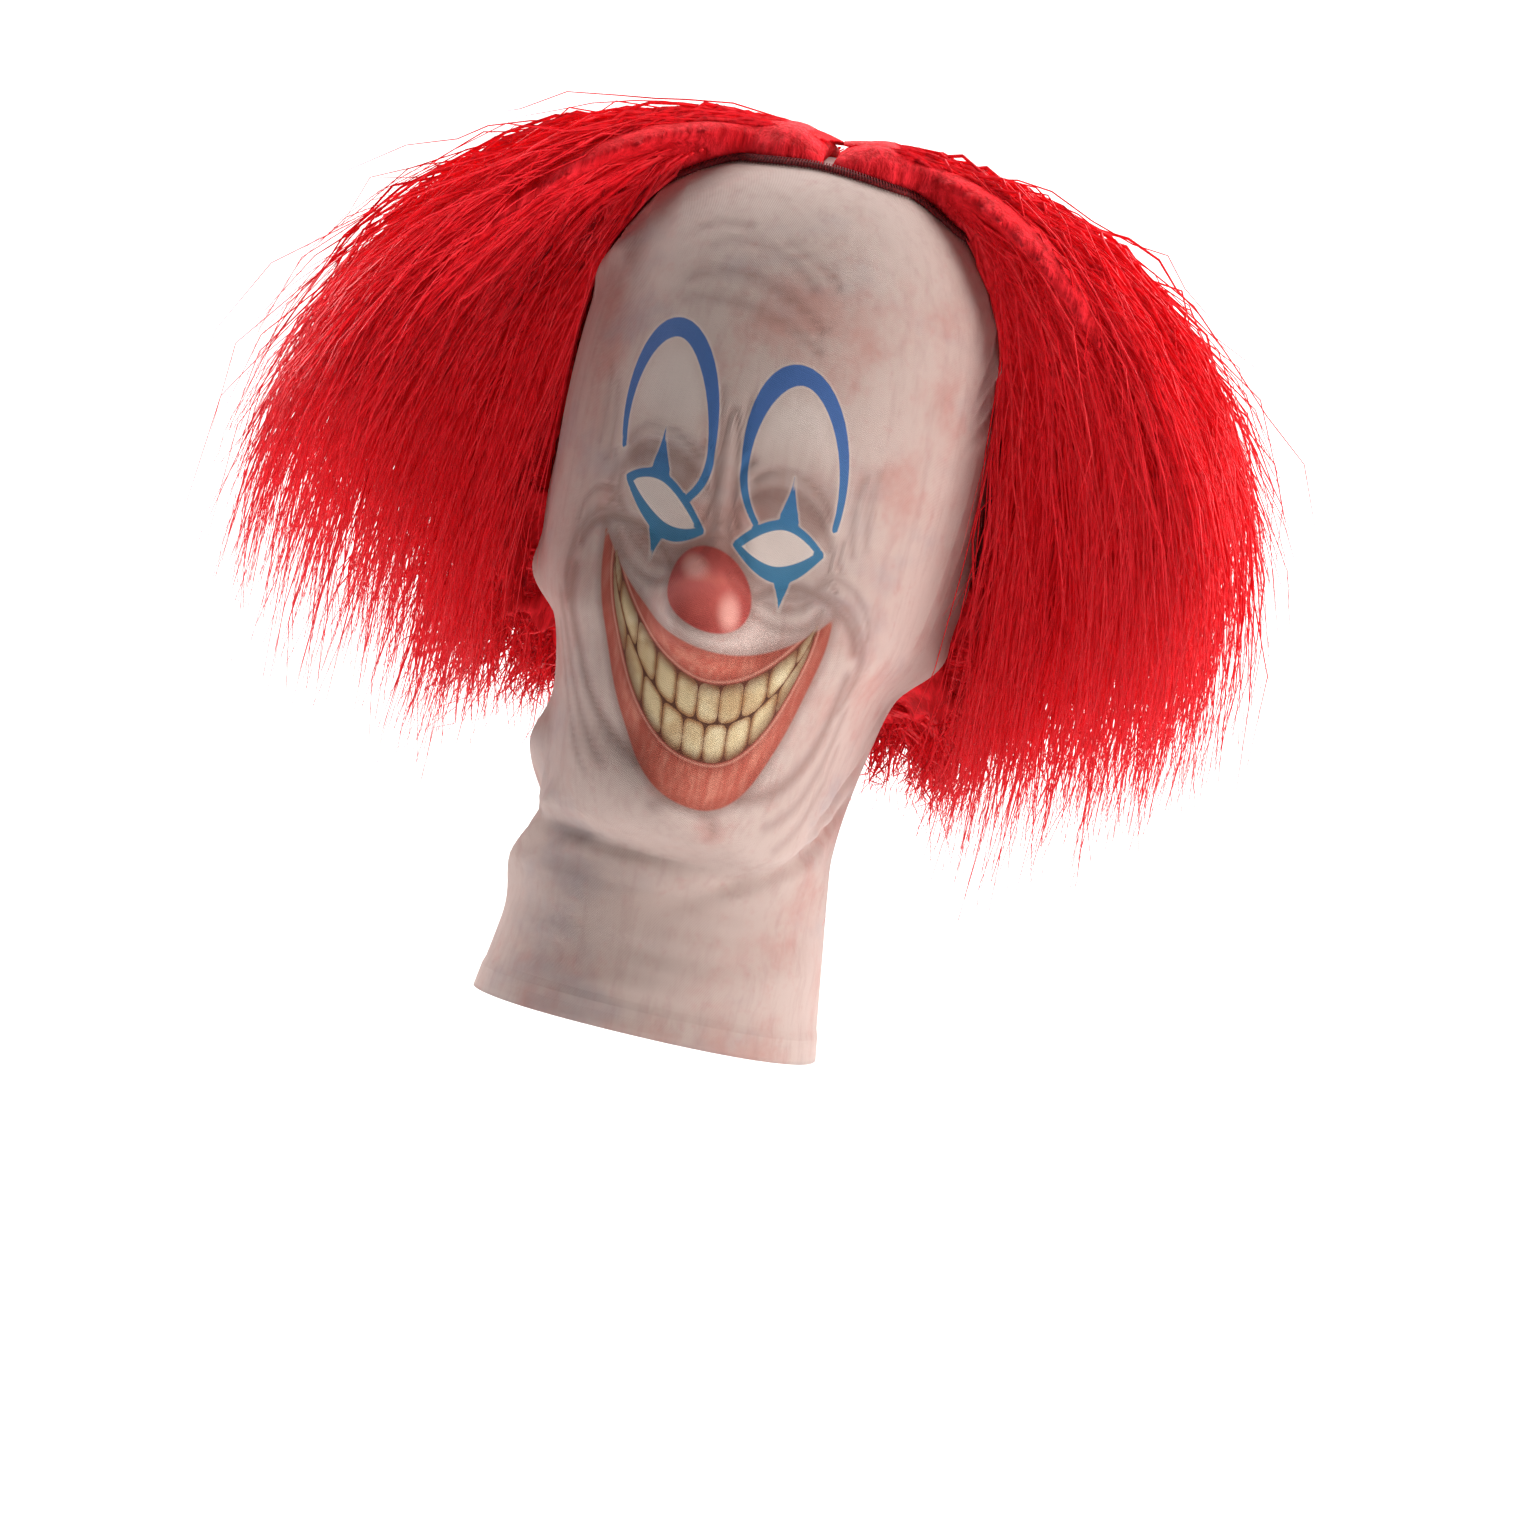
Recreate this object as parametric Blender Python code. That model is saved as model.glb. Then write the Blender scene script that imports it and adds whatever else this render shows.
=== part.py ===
"""Clown mask: a thin stretch hood pulled over the whole head down to the neck, with two
panels of long red fur sewn over its crown and parted along the middle.

Metres, +Z up, the face looks along -Y, and +X is the wearer's left. The origin is the
point inside the crown where the top of a head carries the mask.

Run it with blender --background --python part.py
"""

import math
import random

import bmesh
import bpy
from mathutils import Vector

# Hood, measured on its outside
HALF_WIDTH = 0.077
FACE_REACH = 0.096
NAPE_REACH = 0.101
CROWN_TO_CHIN = 0.251
NECK_LENGTH = 0.070
FABRIC = 0.0012
PLAN_SQUARENESS = 2.25

# Fur panels
BACKING = 0.0025
CROWN_PILE = 0.010
SIDE_PILE = 0.018
SEWN_GAP = 0.0003
TRIMMED = 0.010
PARTING_SLOPE = 0.016
EDGE_SLOPE = 0.022

# Locks of hair
HAIR_REACH = 0.182
HAIR_FALL = 0.240
LOCK_WIDTH = 0.056
LOCK_DEPTH = 0.020
ROOT_HEIGHT = 0.003
TIP_SHARPNESS = 2.8
FORWARD_SPREAD = 0.50
BACKWARD_SPREAD = 0.80
FORWARD_FLARE = 0.35
BACKWARD_FLARE = 0.80
LENGTH_SPREAD = 0.05
LIFT = 0.09
HANG = 0.60

# Mesh steps
COLUMNS = 44
FRONT_CROWDING = 0.62
CROWN_ROWS = 6
FACE_ROWS = 28
NOSE_CROWDING = 0.42
LOCK_SIDES = 8
LOCK_RINGS = 8
MELT_STEP = 0.004
KEPT_FACES = 0.075

# Cross-sections of the hood from the crown to the neck hem. down runs from 0 at the crown
# to 1 at the chin and 2 at the hem, and the rest are shares of the named sizes above.
# name, down, half width, reach to the face, reach to the nape
SECTIONS = (
    ("crown", 0.000, 0.00, 0.00, 0.00),
    ("crown top", 0.012, 0.33, 0.29, 0.30),
    ("hairline", 0.045, 0.60, 0.53, 0.55),
    ("upper forehead", 0.100, 0.79, 0.71, 0.74),
    ("temple", 0.185, 0.93, 0.86, 0.89),
    ("forehead", 0.290, 0.99, 0.95, 0.97),
    ("brow", 0.420, 1.00, 0.995, 1.00),
    ("eyes", 0.550, 0.975, 0.985, 0.98),
    ("nose", 0.640, 0.94, 1.005, 0.93),
    ("ear lobe", 0.695, 0.885, 1.015, 0.87),
    ("jaw angle", 0.745, 0.80, 1.015, 0.79),
    ("mouth", 0.825, 0.745, 1.005, 0.71),
    ("chin", 0.915, 0.70, 0.975, 0.65),
    ("chin tip", 0.985, 0.685, 0.86, 0.62),
    ("throat", 1.110, 0.70, 0.645, 0.61),
    ("neck", 1.450, 0.745, 0.60, 0.62),
    ("hem", 2.000, 0.82, 0.63, 0.66),
)

# Rounded reliefs that the face gives the cloth. Each row stands on both sides of the
# middle, turn is measured from the nose, and down is as above.
# name, turn in degrees, down, half breadth, half height, proud, roundness
RELIEFS = (
    ("nose", 0, 0.683, 0.0150, 0.0150, 0.0160, 3.4),
    ("eye hollow", 15, 0.590, 0.015, 0.011, -0.0030, 2.0),
    ("cheek", 34, 0.715, 0.021, 0.019, 0.0035, 2.0),
    ("mouth hollow", 13, 0.865, 0.022, 0.009, -0.0022, 2.0),
    ("chin ball", 0, 0.955, 0.018, 0.014, 0.0045, 2.0),
    ("ear", 96, 0.575, 0.017, 0.030, 0.0045, 2.0),
    ("ear lobe", 86, 0.678, 0.014, 0.011, 0.0055, 2.0),
)

# Folds of the cloth, as long soft ridges. tilt turns a fold from level towards upright.
# name, turn in degrees, down, tilt in degrees, half length, half breadth, proud
FOLDS = (
    ("chin roll", 10, 1.120, 6, 0.052, 0.0075, 0.0034),
    ("throat roll", -14, 1.420, -8, 0.046, 0.0085, 0.0032),
    ("neck roll", 30, 1.640, 10, 0.050, 0.0080, 0.0026),
    ("jaw drape", -80, 0.930, 22, 0.030, 0.0110, 0.0085),
    ("shoulder tuck", -62, 1.200, 34, 0.034, 0.0080, 0.0042),
    ("temple tuck", -58, 0.215, 28, 0.020, 0.0060, 0.0030),
    ("brow tuck", 80, 0.190, 52, 0.024, 0.0055, 0.0040),
)

# Where the fur panels end on the hood, from the forehead round to the nape
# turn in degrees, down
HAIRLINE = (
    (0, 0.036),
    (35, 0.045),
    (58, 0.085),
    (70, 0.155),
    (82, 0.225),
    (92, 0.380),
    (100, 0.530),
    (112, 0.680),
    (135, 0.775),
    (180, 0.800),
)

# Rows of locks on one side, from the parting down to the edge. height is the share of the
# way from the crown to the hairline. out and fall place the tips, as shares of the hair's
# reach and fall, leave is how far a lock runs outwards before it drops, and breadth and
# depth are shares of the lock sizes.
# name, height, first turn, last turn, locks, out, fall, leave, breadth, depth
LOCK_ROWS = (
    ("crown", 0.44, 42, 176, 6, 1.00, 0.72, 0.40, 1.10, 1.00),
    ("temple", 0.66, 56, 180, 6, 0.87, 0.84, 0.33, 1.05, 1.00),
    ("side", 0.82, 66, 174, 5, 0.70, 0.95, 0.20, 1.00, 1.00),
    ("edge", 0.93, 76, 180, 5, 0.55, 0.93, 0.10, 0.95, 0.90),
)

COLOURS = {
    "hood": ((0.78, 0.68, 0.66, 1.0), 0.75),
    "fur": ((0.72, 0.02, 0.03, 1.0), 0.45),
}


def catmull_rom(a, b, c, d, t):
    """The smooth curve through b and c, with a and d beside them."""
    return 0.5 * (2 * b + (c - a) * t + (2 * a - 5 * b + 4 * c - d) * t * t + (3 * b - a - 3 * c + d) * t**3)


def depth_below_crown(down):
    """Metres under the crown for a place in the down column."""
    return CROWN_TO_CHIN * min(down, 1.0) + NECK_LENGTH * max(down - 1.0, 0.0)


def section_sizes(row):
    """(depth below crown, half width, face reach, nape reach) of a row of SECTIONS in metres."""
    _, down, width, face, nape = SECTIONS[row]
    return depth_below_crown(down), HALF_WIDTH * width, FACE_REACH * face, NAPE_REACH * nape


def section_at(level):
    """The cross-section at a level, counted in rows of SECTIONS from the crown."""
    last = len(SECTIONS) - 1
    row = min(int(level), last - 1)
    before, first, second, after = (section_sizes(min(max(row + k, 0), last)) for k in (-1, 0, 1, 2))
    if row == 0:
        before = (second[0], -second[1], -second[2], -second[3])
    t = level - row
    return [catmull_rom(a, b, c, d, t) for a, b, c, d in zip(before, first, second, after)]


def level_at(down):
    """The level whose cross-section lies at a place in the down column."""
    wanted = depth_below_crown(down)
    low, high = 0.0, len(SECTIONS) - 1.0
    for _ in range(40):
        middle = (low + high) / 2
        if section_at(middle)[0] < wanted:
            low = middle
        else:
            high = middle
    return high


def relief_at(turn, depth, radius):
    """How far the face and the folds push the cloth out at a place on the hood."""
    proud = 0.0
    for _, degrees, down, breadth, height, rise, roundness in RELIEFS:
        for side in (-1, 1) if degrees else (1,):
            along = radius * (turn - side * math.radians(degrees)) / breadth
            across = (depth - depth_below_crown(down)) / height
            proud += rise * math.exp(-(math.hypot(along, across) ** roundness))
    for _, degrees, down, tilt, length, breadth, rise in FOLDS:
        x = radius * (turn - math.radians(degrees))
        z = depth_below_crown(down) - depth
        lean = math.radians(tilt)
        along = (x * math.cos(lean) + z * math.sin(lean)) / length
        across = (z * math.cos(lean) - x * math.sin(lean)) / breadth
        proud += rise * math.exp(-(along**4) - across**2)
    return proud


def skin_point(turn, level):
    """A point on the outside of the hood, at a turn from the nose and a level from the crown."""
    depth, width, face, nape = section_at(level)
    if level <= 0:
        return Vector((0, 0, FABRIC))
    reach = face if math.cos(turn) > 0 else nape
    power = PLAN_SQUARENESS
    radius = (abs(math.sin(turn) / width) ** power + abs(math.cos(turn) / reach) ** power) ** (-1 / power)
    radius += relief_at(turn, depth, radius)
    return Vector((radius * math.sin(turn), -radius * math.cos(turn), FABRIC - depth))


def skin_normal(turn, level):
    """The outward direction of the hood there."""
    if level <= 0:
        return Vector((0, 0, 1))
    small_turn, small_level = 0.01, 0.02
    last = len(SECTIONS) - 1.0
    round_it = skin_point(turn + small_turn, level) - skin_point(turn - small_turn, level)
    down_it = skin_point(turn, min(level + small_level, last)) - skin_point(turn, max(level - small_level, 1e-4))
    return down_it.cross(round_it).normalized()


def off_skin(turn, level, height):
    """A point at a height over the hood."""
    return skin_point(turn, level) + height * skin_normal(turn, level)


def hairline_level(turn):
    """The level where the fur ends at this turn, the same on both sides."""
    degrees = abs(math.degrees(turn))
    for (first, start), (second, end) in zip(HAIRLINE, HAIRLINE[1:]):
        if degrees <= second:
            t = max(0.0, (degrees - first) / (second - first))
            return level_at(start + (end - start) * t * t * (3 - 2 * t))
    return level_at(HAIRLINE[-1][1])


def column_turn(column):
    """The turn of a column of the mesh, with the columns crowded towards the face."""
    even = 2 * math.pi * column / COLUMNS
    return even - FRONT_CROWDING * math.sin(even)


def row_level(row, turn):
    """The level of a row of the mesh: crown rows down to the hairline, then face rows to the hem."""
    edge = hairline_level(turn)
    if row <= CROWN_ROWS:
        return edge * row / CROWN_ROWS
    length = depth_below_crown(2.0) - section_at(edge)[0]
    share = (row - CROWN_ROWS) / FACE_ROWS
    share += NOSE_CROWDING * math.sin(2 * math.pi * share) / (2 * math.pi)
    depth = section_at(edge)[0] + length * share
    down = depth / CROWN_TO_CHIN if depth < CROWN_TO_CHIN else 1 + (depth - CROWN_TO_CHIN) / NECK_LENGTH
    return level_at(down)


def wrap(turn):
    """A turn between minus and plus half a circle."""
    return (turn + math.pi) % (2 * math.pi) - math.pi


def link(name, mesh, colour):
    """A smooth-shaded object with its own material."""
    obj = bpy.data.objects.new(name, mesh)
    bpy.context.scene.collection.objects.link(obj)
    base, roughness = COLOURS[colour]
    material = bpy.data.materials.new(name)
    material.use_nodes = True
    shader = material.node_tree.nodes["Principled BSDF"]
    shader.inputs["Base Color"].default_value = base
    shader.inputs["Roughness"].default_value = roughness
    mesh.materials.append(material)
    mesh.shade_smooth()
    return obj


def finish_mesh(bm, name):
    """The bmesh as a mesh, with its faces turned outwards."""
    bmesh.ops.recalc_face_normals(bm, faces=bm.faces)
    mesh = bpy.data.meshes.new(name)
    bm.to_mesh(mesh)
    bm.free()
    return mesh


def add_head_surface(bm, height):
    """The hood's surface at a height over its outside, split into triangles, and its hem ring."""
    crown = bm.verts.new(off_skin(0, 0, height))
    turns = [wrap(column_turn(column)) for column in range(COLUMNS)]
    rings = []
    for row in range(1, CROWN_ROWS + FACE_ROWS + 1):
        rings.append([bm.verts.new(off_skin(turn, row_level(row, turn), height)) for turn in turns])
    for column in range(COLUMNS):
        beside = (column + 1) % COLUMNS
        bm.faces.new((crown, rings[0][beside], rings[0][column]))
        for upper, lower in zip(rings, rings[1:]):
            bm.faces.new((upper[column], upper[beside], lower[beside]))
            bm.faces.new((upper[column], lower[beside], lower[column]))
    return rings[-1]


def make_hood():
    """The hood: one cloth wall from the crown to the open neck."""
    bm = bmesh.new()
    add_head_surface(bm, 0.0)
    hood = link("hood", finish_mesh(bm, "hood"), "hood")
    wall = hood.modifiers.new("cloth wall", "SOLIDIFY")
    wall.thickness = FABRIC
    wall.offset = -1.0
    return hood


def pile_height(point, share):
    """Height of the fur over its backing: low at the parting and at the sewn edge."""
    beside_parting = min(abs(point.x) / PARTING_SLOPE, 1.0)
    from_edge = min((1.0 - share) / EDGE_SLOPE * HALF_WIDTH, 1.0)
    pile = CROWN_PILE + (SIDE_PILE - CROWN_PILE) * min(abs(point.x) / HALF_WIDTH, 1.0)
    return pile * math.sin(math.pi / 2 * beside_parting) * math.sin(math.pi / 2 * from_edge)


def helper(name, mesh):
    """A shape that only cuts or adds to another one."""
    obj = bpy.data.objects.new(name, mesh)
    bpy.context.scene.collection.objects.link(obj)
    obj.hide_render = True
    obj.display_type = "WIRE"
    return obj


def cut_away(target, cutter):
    """Removes the cutter's shape from the target."""
    modifier = target.modifiers.new(cutter.name, "BOOLEAN")
    modifier.operation = "DIFFERENCE"
    modifier.solver = "EXACT"
    modifier.object = cutter


def make_head_form():
    """The outside of the hood and the sewn gap, closed into a solid that trims the fur."""
    bm = bmesh.new()
    hem = add_head_surface(bm, SEWN_GAP)
    bm.faces.new(hem)
    return helper("head_form", finish_mesh(bm, "head_form"))


def make_other_half(side):
    """A block over the other side of the parting."""
    bm = bmesh.new()
    bmesh.ops.create_cube(bm, size=1.0)
    for vert in bm.verts:
        vert.co.x = vert.co.x - side * (0.5 - SEWN_GAP / 2)
    name = f"other_half_{'left' if side > 0 else 'right'}"
    return helper(name, finish_mesh(bm, name))


def add_fur_dome(bm, side):
    """The short fur over one half of the crown. It reaches under the hood and over the
    parting, where the head form and the other half trim it."""
    half = COLUMNS // 2
    sheets = []
    for outer in (False, True):
        lines = []
        for row in range(CROWN_ROWS + 1):
            line = []
            for column in range(half + 1):
                turn = side * abs(wrap(column_turn(column))) if column < half else side * math.pi
                level = row_level(row, turn)
                pile = pile_height(skin_point(turn, level), row / CROWN_ROWS)
                point = off_skin(turn, level, SEWN_GAP + BACKING + pile if outer else -TRIMMED)
                if column in (0, half) or row == 0:
                    point.x = -side * TRIMMED
                line.append(point)
            lines.append(line)
        pole = bm.verts.new(lines[0][0])
        sheets.append([[pole] * (half + 1)] + [[bm.verts.new(p) for p in line] for line in lines[1:]])
    inner, outer = sheets
    for sheet in sheets:
        for row in range(CROWN_ROWS):
            for column in range(half):
                upper, lower = sheet[row], sheet[row + 1]
                corners = (upper[column], upper[column + 1], lower[column + 1], lower[column])
                bm.faces.new(list(dict.fromkeys(corners)))
    for column in (0, half):
        for row in range(CROWN_ROWS):
            bm.faces.new((inner[row][column], inner[row + 1][column], outer[row + 1][column], outer[row][column]))
    for column in range(half):
        bm.faces.new((inner[-1][column], inner[-1][column + 1], outer[-1][column + 1], outer[-1][column]))


def lock_path(turn, height, out, fall, leave):
    """Root, two handles and tip of a lock that leaves the head and drops to its tip."""
    root = off_skin(turn, hairline_level(turn) * height, SEWN_GAP + BACKING + ROOT_HEIGHT)
    spread, flare = (FORWARD_SPREAD, FORWARD_FLARE) if math.cos(turn) > 0 else (BACKWARD_SPREAD, BACKWARD_FLARE)
    tip_x = math.copysign(abs(math.sin(turn)) ** flare, turn) * out * HAIR_REACH
    tip_y = -math.cos(turn) * spread * out * HAIR_REACH
    tip = Vector((tip_x, tip_y, FABRIC - fall * HAIR_FALL))
    away = Vector((tip.x - root.x, tip.y - root.y, 0)).normalized()
    leaving = root + leave * HAIR_REACH * (away + LIFT * Vector((0, 0, 1)))
    return root, leaving, tip + Vector((0, 0, HANG * (root.z - tip.z))), tip


def bezier(path, t):
    """The point of a cubic curve, and its direction."""
    a, b, c, d = path
    s = 1 - t
    point = s**3 * a + 3 * s * s * t * b + 3 * s * t * t * c + t**3 * d
    direction = 3 * s * s * (b - a) + 6 * s * t * (c - b) + 3 * t * t * (d - c)
    return point, direction.normalized()


def add_lock(bm, path, turn, breadth, depth):
    """A flattened lock of hair in a bmesh, widest in its first third and pointed at its tip."""
    rings = []
    across_head = Vector((math.cos(turn), math.sin(turn), 0))
    for ring in range(LOCK_RINGS):
        t = ring / LOCK_RINGS
        centre, direction = bezier(path, t)
        flat = (across_head - across_head.dot(direction) * direction).normalized()
        thick = direction.cross(flat)
        swell = 0.72 + 0.28 * math.sin(math.pi * min(t / 0.66, 1.0))
        taper = swell * (1 - t**TIP_SHARPNESS) + 0.02
        corners = []
        for corner in range(LOCK_SIDES):
            angle = 2 * math.pi * corner / LOCK_SIDES
            offset = 0.5 * taper * (breadth * math.cos(angle) * flat + depth * math.sin(angle) * thick)
            corners.append(bm.verts.new(centre + offset))
        rings.append(corners)
    tip = bm.verts.new(path[3])
    for corner in range(LOCK_SIDES):
        beside = (corner + 1) % LOCK_SIDES
        for near, far in zip(rings, rings[1:]):
            bm.faces.new((near[corner], near[beside], far[beside], far[corner]))
        bm.faces.new((rings[-1][corner], rings[-1][beside], tip))
    bm.faces.new(rings[0])


def add_locks(bm, side):
    """Every row of locks on one side."""
    chance = random.Random(5 + side)
    for _, height, first, last, count, out, fall, leave, breadth, depth in LOCK_ROWS:
        for number in range(count):
            turn = side * math.radians(first + (last - first) * (number + 0.5) / count)
            longer = 1 + LENGTH_SPREAD * chance.uniform(-1, 1)
            path = lock_path(turn, height, out * longer, fall * longer, leave)
            add_lock(bm, path, turn, LOCK_WIDTH * breadth, LOCK_DEPTH * depth)


def make_fur_panel(side, head_form):
    """One fur panel: its dome and its locks melted together, then trimmed to the hood and the parting."""
    bm = bmesh.new()
    add_fur_dome(bm, side)
    add_locks(bm, side)
    name = "fur_panel_left" if side > 0 else "fur_panel_right"
    panel = link(name, finish_mesh(bm, name), "fur")
    melt = panel.modifiers.new("melt together", "REMESH")
    melt.mode = "VOXEL"
    melt.voxel_size = MELT_STEP
    melt.use_smooth_shade = True
    thin = panel.modifiers.new("fewer faces", "DECIMATE")
    thin.ratio = KEPT_FACES
    cut_away(panel, head_form)
    cut_away(panel, make_other_half(side))
    return panel


def main():
    for obj in list(bpy.data.objects):
        bpy.data.objects.remove(obj)
    make_hood()
    head_form = make_head_form()
    for side in (-1, 1):
        make_fur_panel(side, head_form)


main()
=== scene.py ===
"""Clown mask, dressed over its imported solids: a printed stretch hood with sewn red fur hair.

Each piece has an operator in the sidebar of the 3D view, and main() runs them in order.
"""

import math
import random

import bmesh
import bpy
import numpy as np
from mathutils import Matrix, Vector


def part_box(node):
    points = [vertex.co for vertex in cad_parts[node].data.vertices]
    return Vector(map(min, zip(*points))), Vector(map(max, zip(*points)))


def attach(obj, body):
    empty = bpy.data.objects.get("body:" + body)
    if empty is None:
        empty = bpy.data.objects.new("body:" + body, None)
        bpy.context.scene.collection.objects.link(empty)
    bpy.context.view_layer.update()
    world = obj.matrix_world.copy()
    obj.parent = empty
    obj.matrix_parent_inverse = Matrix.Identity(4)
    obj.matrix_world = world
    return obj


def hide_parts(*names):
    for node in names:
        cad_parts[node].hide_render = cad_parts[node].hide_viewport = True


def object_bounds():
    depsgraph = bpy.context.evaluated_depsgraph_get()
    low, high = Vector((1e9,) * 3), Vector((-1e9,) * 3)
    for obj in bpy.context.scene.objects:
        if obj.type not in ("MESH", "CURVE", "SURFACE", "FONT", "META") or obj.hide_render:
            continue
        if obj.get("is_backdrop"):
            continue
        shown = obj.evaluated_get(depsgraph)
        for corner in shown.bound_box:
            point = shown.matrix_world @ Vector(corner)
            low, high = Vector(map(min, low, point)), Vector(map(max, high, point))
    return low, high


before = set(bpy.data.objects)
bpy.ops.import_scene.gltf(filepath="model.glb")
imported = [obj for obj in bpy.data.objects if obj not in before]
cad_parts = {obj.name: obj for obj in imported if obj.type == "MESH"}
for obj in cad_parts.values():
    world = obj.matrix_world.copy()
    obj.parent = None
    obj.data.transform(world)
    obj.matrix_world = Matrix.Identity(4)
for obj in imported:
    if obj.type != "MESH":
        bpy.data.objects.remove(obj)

bl_info = {
    "name": "Clown Mask",
    "version": (1, 0, 0),
    "blender": (4, 5, 0),
    "location": "View3D > Sidebar > Clown Mask",
    "description": "A printed stretch hood with red fur hair",
    "category": "Object",
}

CAD_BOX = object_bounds()
_, HOOD_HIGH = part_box("hood")

# Shares and lengths of the hair that the solids use too
ROOT_HEIGHT = 0.003
TIP_SHARPNESS = 2.8
FORWARD_SPREAD = 0.50
BACKWARD_SPREAD = 0.80
FORWARD_FLARE = 0.35
BACKWARD_FLARE = 0.80
LIFT_OFF = 0.09
HANG = 0.60
PARTING_SLOPE = 0.016
EDGE_SLOPE = 0.022

# Cross-sections of the hood from the crown to the neck hem. down runs from 0 at the crown
# to 1 at the chin and 2 at the hem, and the rest are shares of the hood's sizes.
# name, down, half width, reach to the face, reach to the nape
SECTIONS = (
    ("crown", 0.000, 0.00, 0.00, 0.00),
    ("crown top", 0.012, 0.33, 0.29, 0.30),
    ("hairline", 0.045, 0.60, 0.53, 0.55),
    ("upper forehead", 0.100, 0.79, 0.71, 0.74),
    ("temple", 0.185, 0.93, 0.86, 0.89),
    ("forehead", 0.290, 0.99, 0.95, 0.97),
    ("brow", 0.420, 1.00, 0.995, 1.00),
    ("eyes", 0.550, 0.975, 0.985, 0.98),
    ("nose", 0.640, 0.94, 1.005, 0.93),
    ("ear lobe", 0.695, 0.885, 1.015, 0.87),
    ("jaw angle", 0.745, 0.80, 1.015, 0.79),
    ("mouth", 0.825, 0.745, 1.005, 0.71),
    ("chin", 0.915, 0.70, 0.975, 0.65),
    ("chin tip", 0.985, 0.685, 0.86, 0.62),
    ("throat", 1.110, 0.70, 0.645, 0.61),
    ("neck", 1.450, 0.745, 0.60, 0.62),
    ("hem", 2.000, 0.82, 0.63, 0.66),
)

# Rounded reliefs that the face gives the cloth, on both sides of the middle
# name, turn in degrees, down, half breadth, half height, proud, roundness
RELIEFS = (
    ("nose", 0, 0.683, 0.0150, 0.0150, 0.0160, 3.4),
    ("eye hollow", 15, 0.590, 0.015, 0.011, -0.0030, 2.0),
    ("cheek", 34, 0.715, 0.021, 0.019, 0.0035, 2.0),
    ("mouth hollow", 13, 0.865, 0.022, 0.009, -0.0022, 2.0),
    ("chin ball", 0, 0.955, 0.018, 0.014, 0.0045, 2.0),
    ("ear", 96, 0.575, 0.017, 0.030, 0.0045, 2.0),
    ("ear lobe", 86, 0.678, 0.014, 0.011, 0.0055, 2.0),
)

# Folds of the cloth, as long soft ridges. tilt turns a fold from level towards upright.
# name, turn in degrees, down, tilt in degrees, half length, half breadth, proud
FOLDS = (
    ("chin roll", 10, 1.120, 6, 0.052, 0.0075, 0.0034),
    ("throat roll", -14, 1.420, -8, 0.046, 0.0085, 0.0032),
    ("neck roll", 30, 1.640, 10, 0.050, 0.0080, 0.0026),
    ("jaw drape", -80, 0.930, 22, 0.030, 0.0110, 0.0085),
    ("shoulder tuck", -62, 1.200, 34, 0.034, 0.0080, 0.0042),
    ("temple tuck", -58, 0.215, 28, 0.020, 0.0060, 0.0030),
    ("brow tuck", 80, 0.190, 52, 0.024, 0.0055, 0.0040),
)

# Fine creases that only the dressed hood shows, in the same columns as the folds
CREASES = (
    ("temple fan 1", 66, 0.205, 62, 0.026, 0.0022, 0.0011),
    ("temple fan 2", 70, 0.245, 50, 0.028, 0.0022, 0.0013),
    ("temple fan 3", 72, 0.290, 38, 0.026, 0.0024, 0.0012),
    ("temple fan 4", 74, 0.335, 24, 0.024, 0.0024, 0.0010),
    ("temple fan 5", 62, 0.165, 70, 0.022, 0.0020, 0.0009),
    ("side fold 1", 64, 0.520, 84, 0.034, 0.0028, 0.0012),
    ("side fold 2", 72, 0.560, 80, 0.030, 0.0026, 0.0011),
    ("crown pull 1", -40, 0.115, -50, 0.022, 0.0022, 0.0010),
    ("crown pull 2", -48, 0.150, -38, 0.024, 0.0022, 0.0012),
    ("crown pull 3", -54, 0.200, -26, 0.022, 0.0022, 0.0009),
    ("jaw fold 1", -58, 0.985, 48, 0.030, 0.0030, 0.0016),
    ("jaw fold 2", -52, 1.090, 36, 0.030, 0.0030, 0.0018),
    ("jaw fold 3", -40, 1.190, 20, 0.034, 0.0030, 0.0014),
    ("neck line 1", 6, 1.230, 4, 0.050, 0.0020, 0.0010),
    ("neck line 2", -4, 1.330, -3, 0.056, 0.0020, 0.0011),
    ("neck line 3", 12, 1.500, 5, 0.052, 0.0020, 0.0010),
    ("neck line 4", -8, 1.620, -4, 0.056, 0.0022, 0.0011),
    ("neck line 5", 4, 1.760, 3, 0.058, 0.0022, 0.0009),
    ("jaw line 1", 52, 0.900, -34, 0.026, 0.0026, 0.0011),
    ("jaw line 2", 60, 0.980, -40, 0.028, 0.0026, 0.0013),
    ("ear pull", 78, 0.780, 60, 0.020, 0.0024, 0.0012),
    ("jaw crease", 46, 0.990, 30, 0.040, 0.0036, -0.0048),
    ("jaw tuck", 60, 0.900, 40, 0.022, 0.0026, -0.0024),
    ("chin crease", -14, 1.075, -4, 0.046, 0.0034, -0.0040),
    ("temple groove 1", 68, 0.225, 56, 0.026, 0.0018, -0.0012),
    ("temple groove 2", 71, 0.268, 44, 0.026, 0.0018, -0.0012),
    ("temple groove 3", 73, 0.312, 31, 0.024, 0.0018, -0.0011),
)

# Where the fur panels end on the hood, from the forehead round to the nape
# turn in degrees, down
HAIRLINE = (
    (0, 0.036),
    (35, 0.045),
    (58, 0.085),
    (70, 0.155),
    (82, 0.225),
    (92, 0.380),
    (100, 0.530),
    (112, 0.680),
    (135, 0.775),
    (180, 0.800),
)

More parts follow.
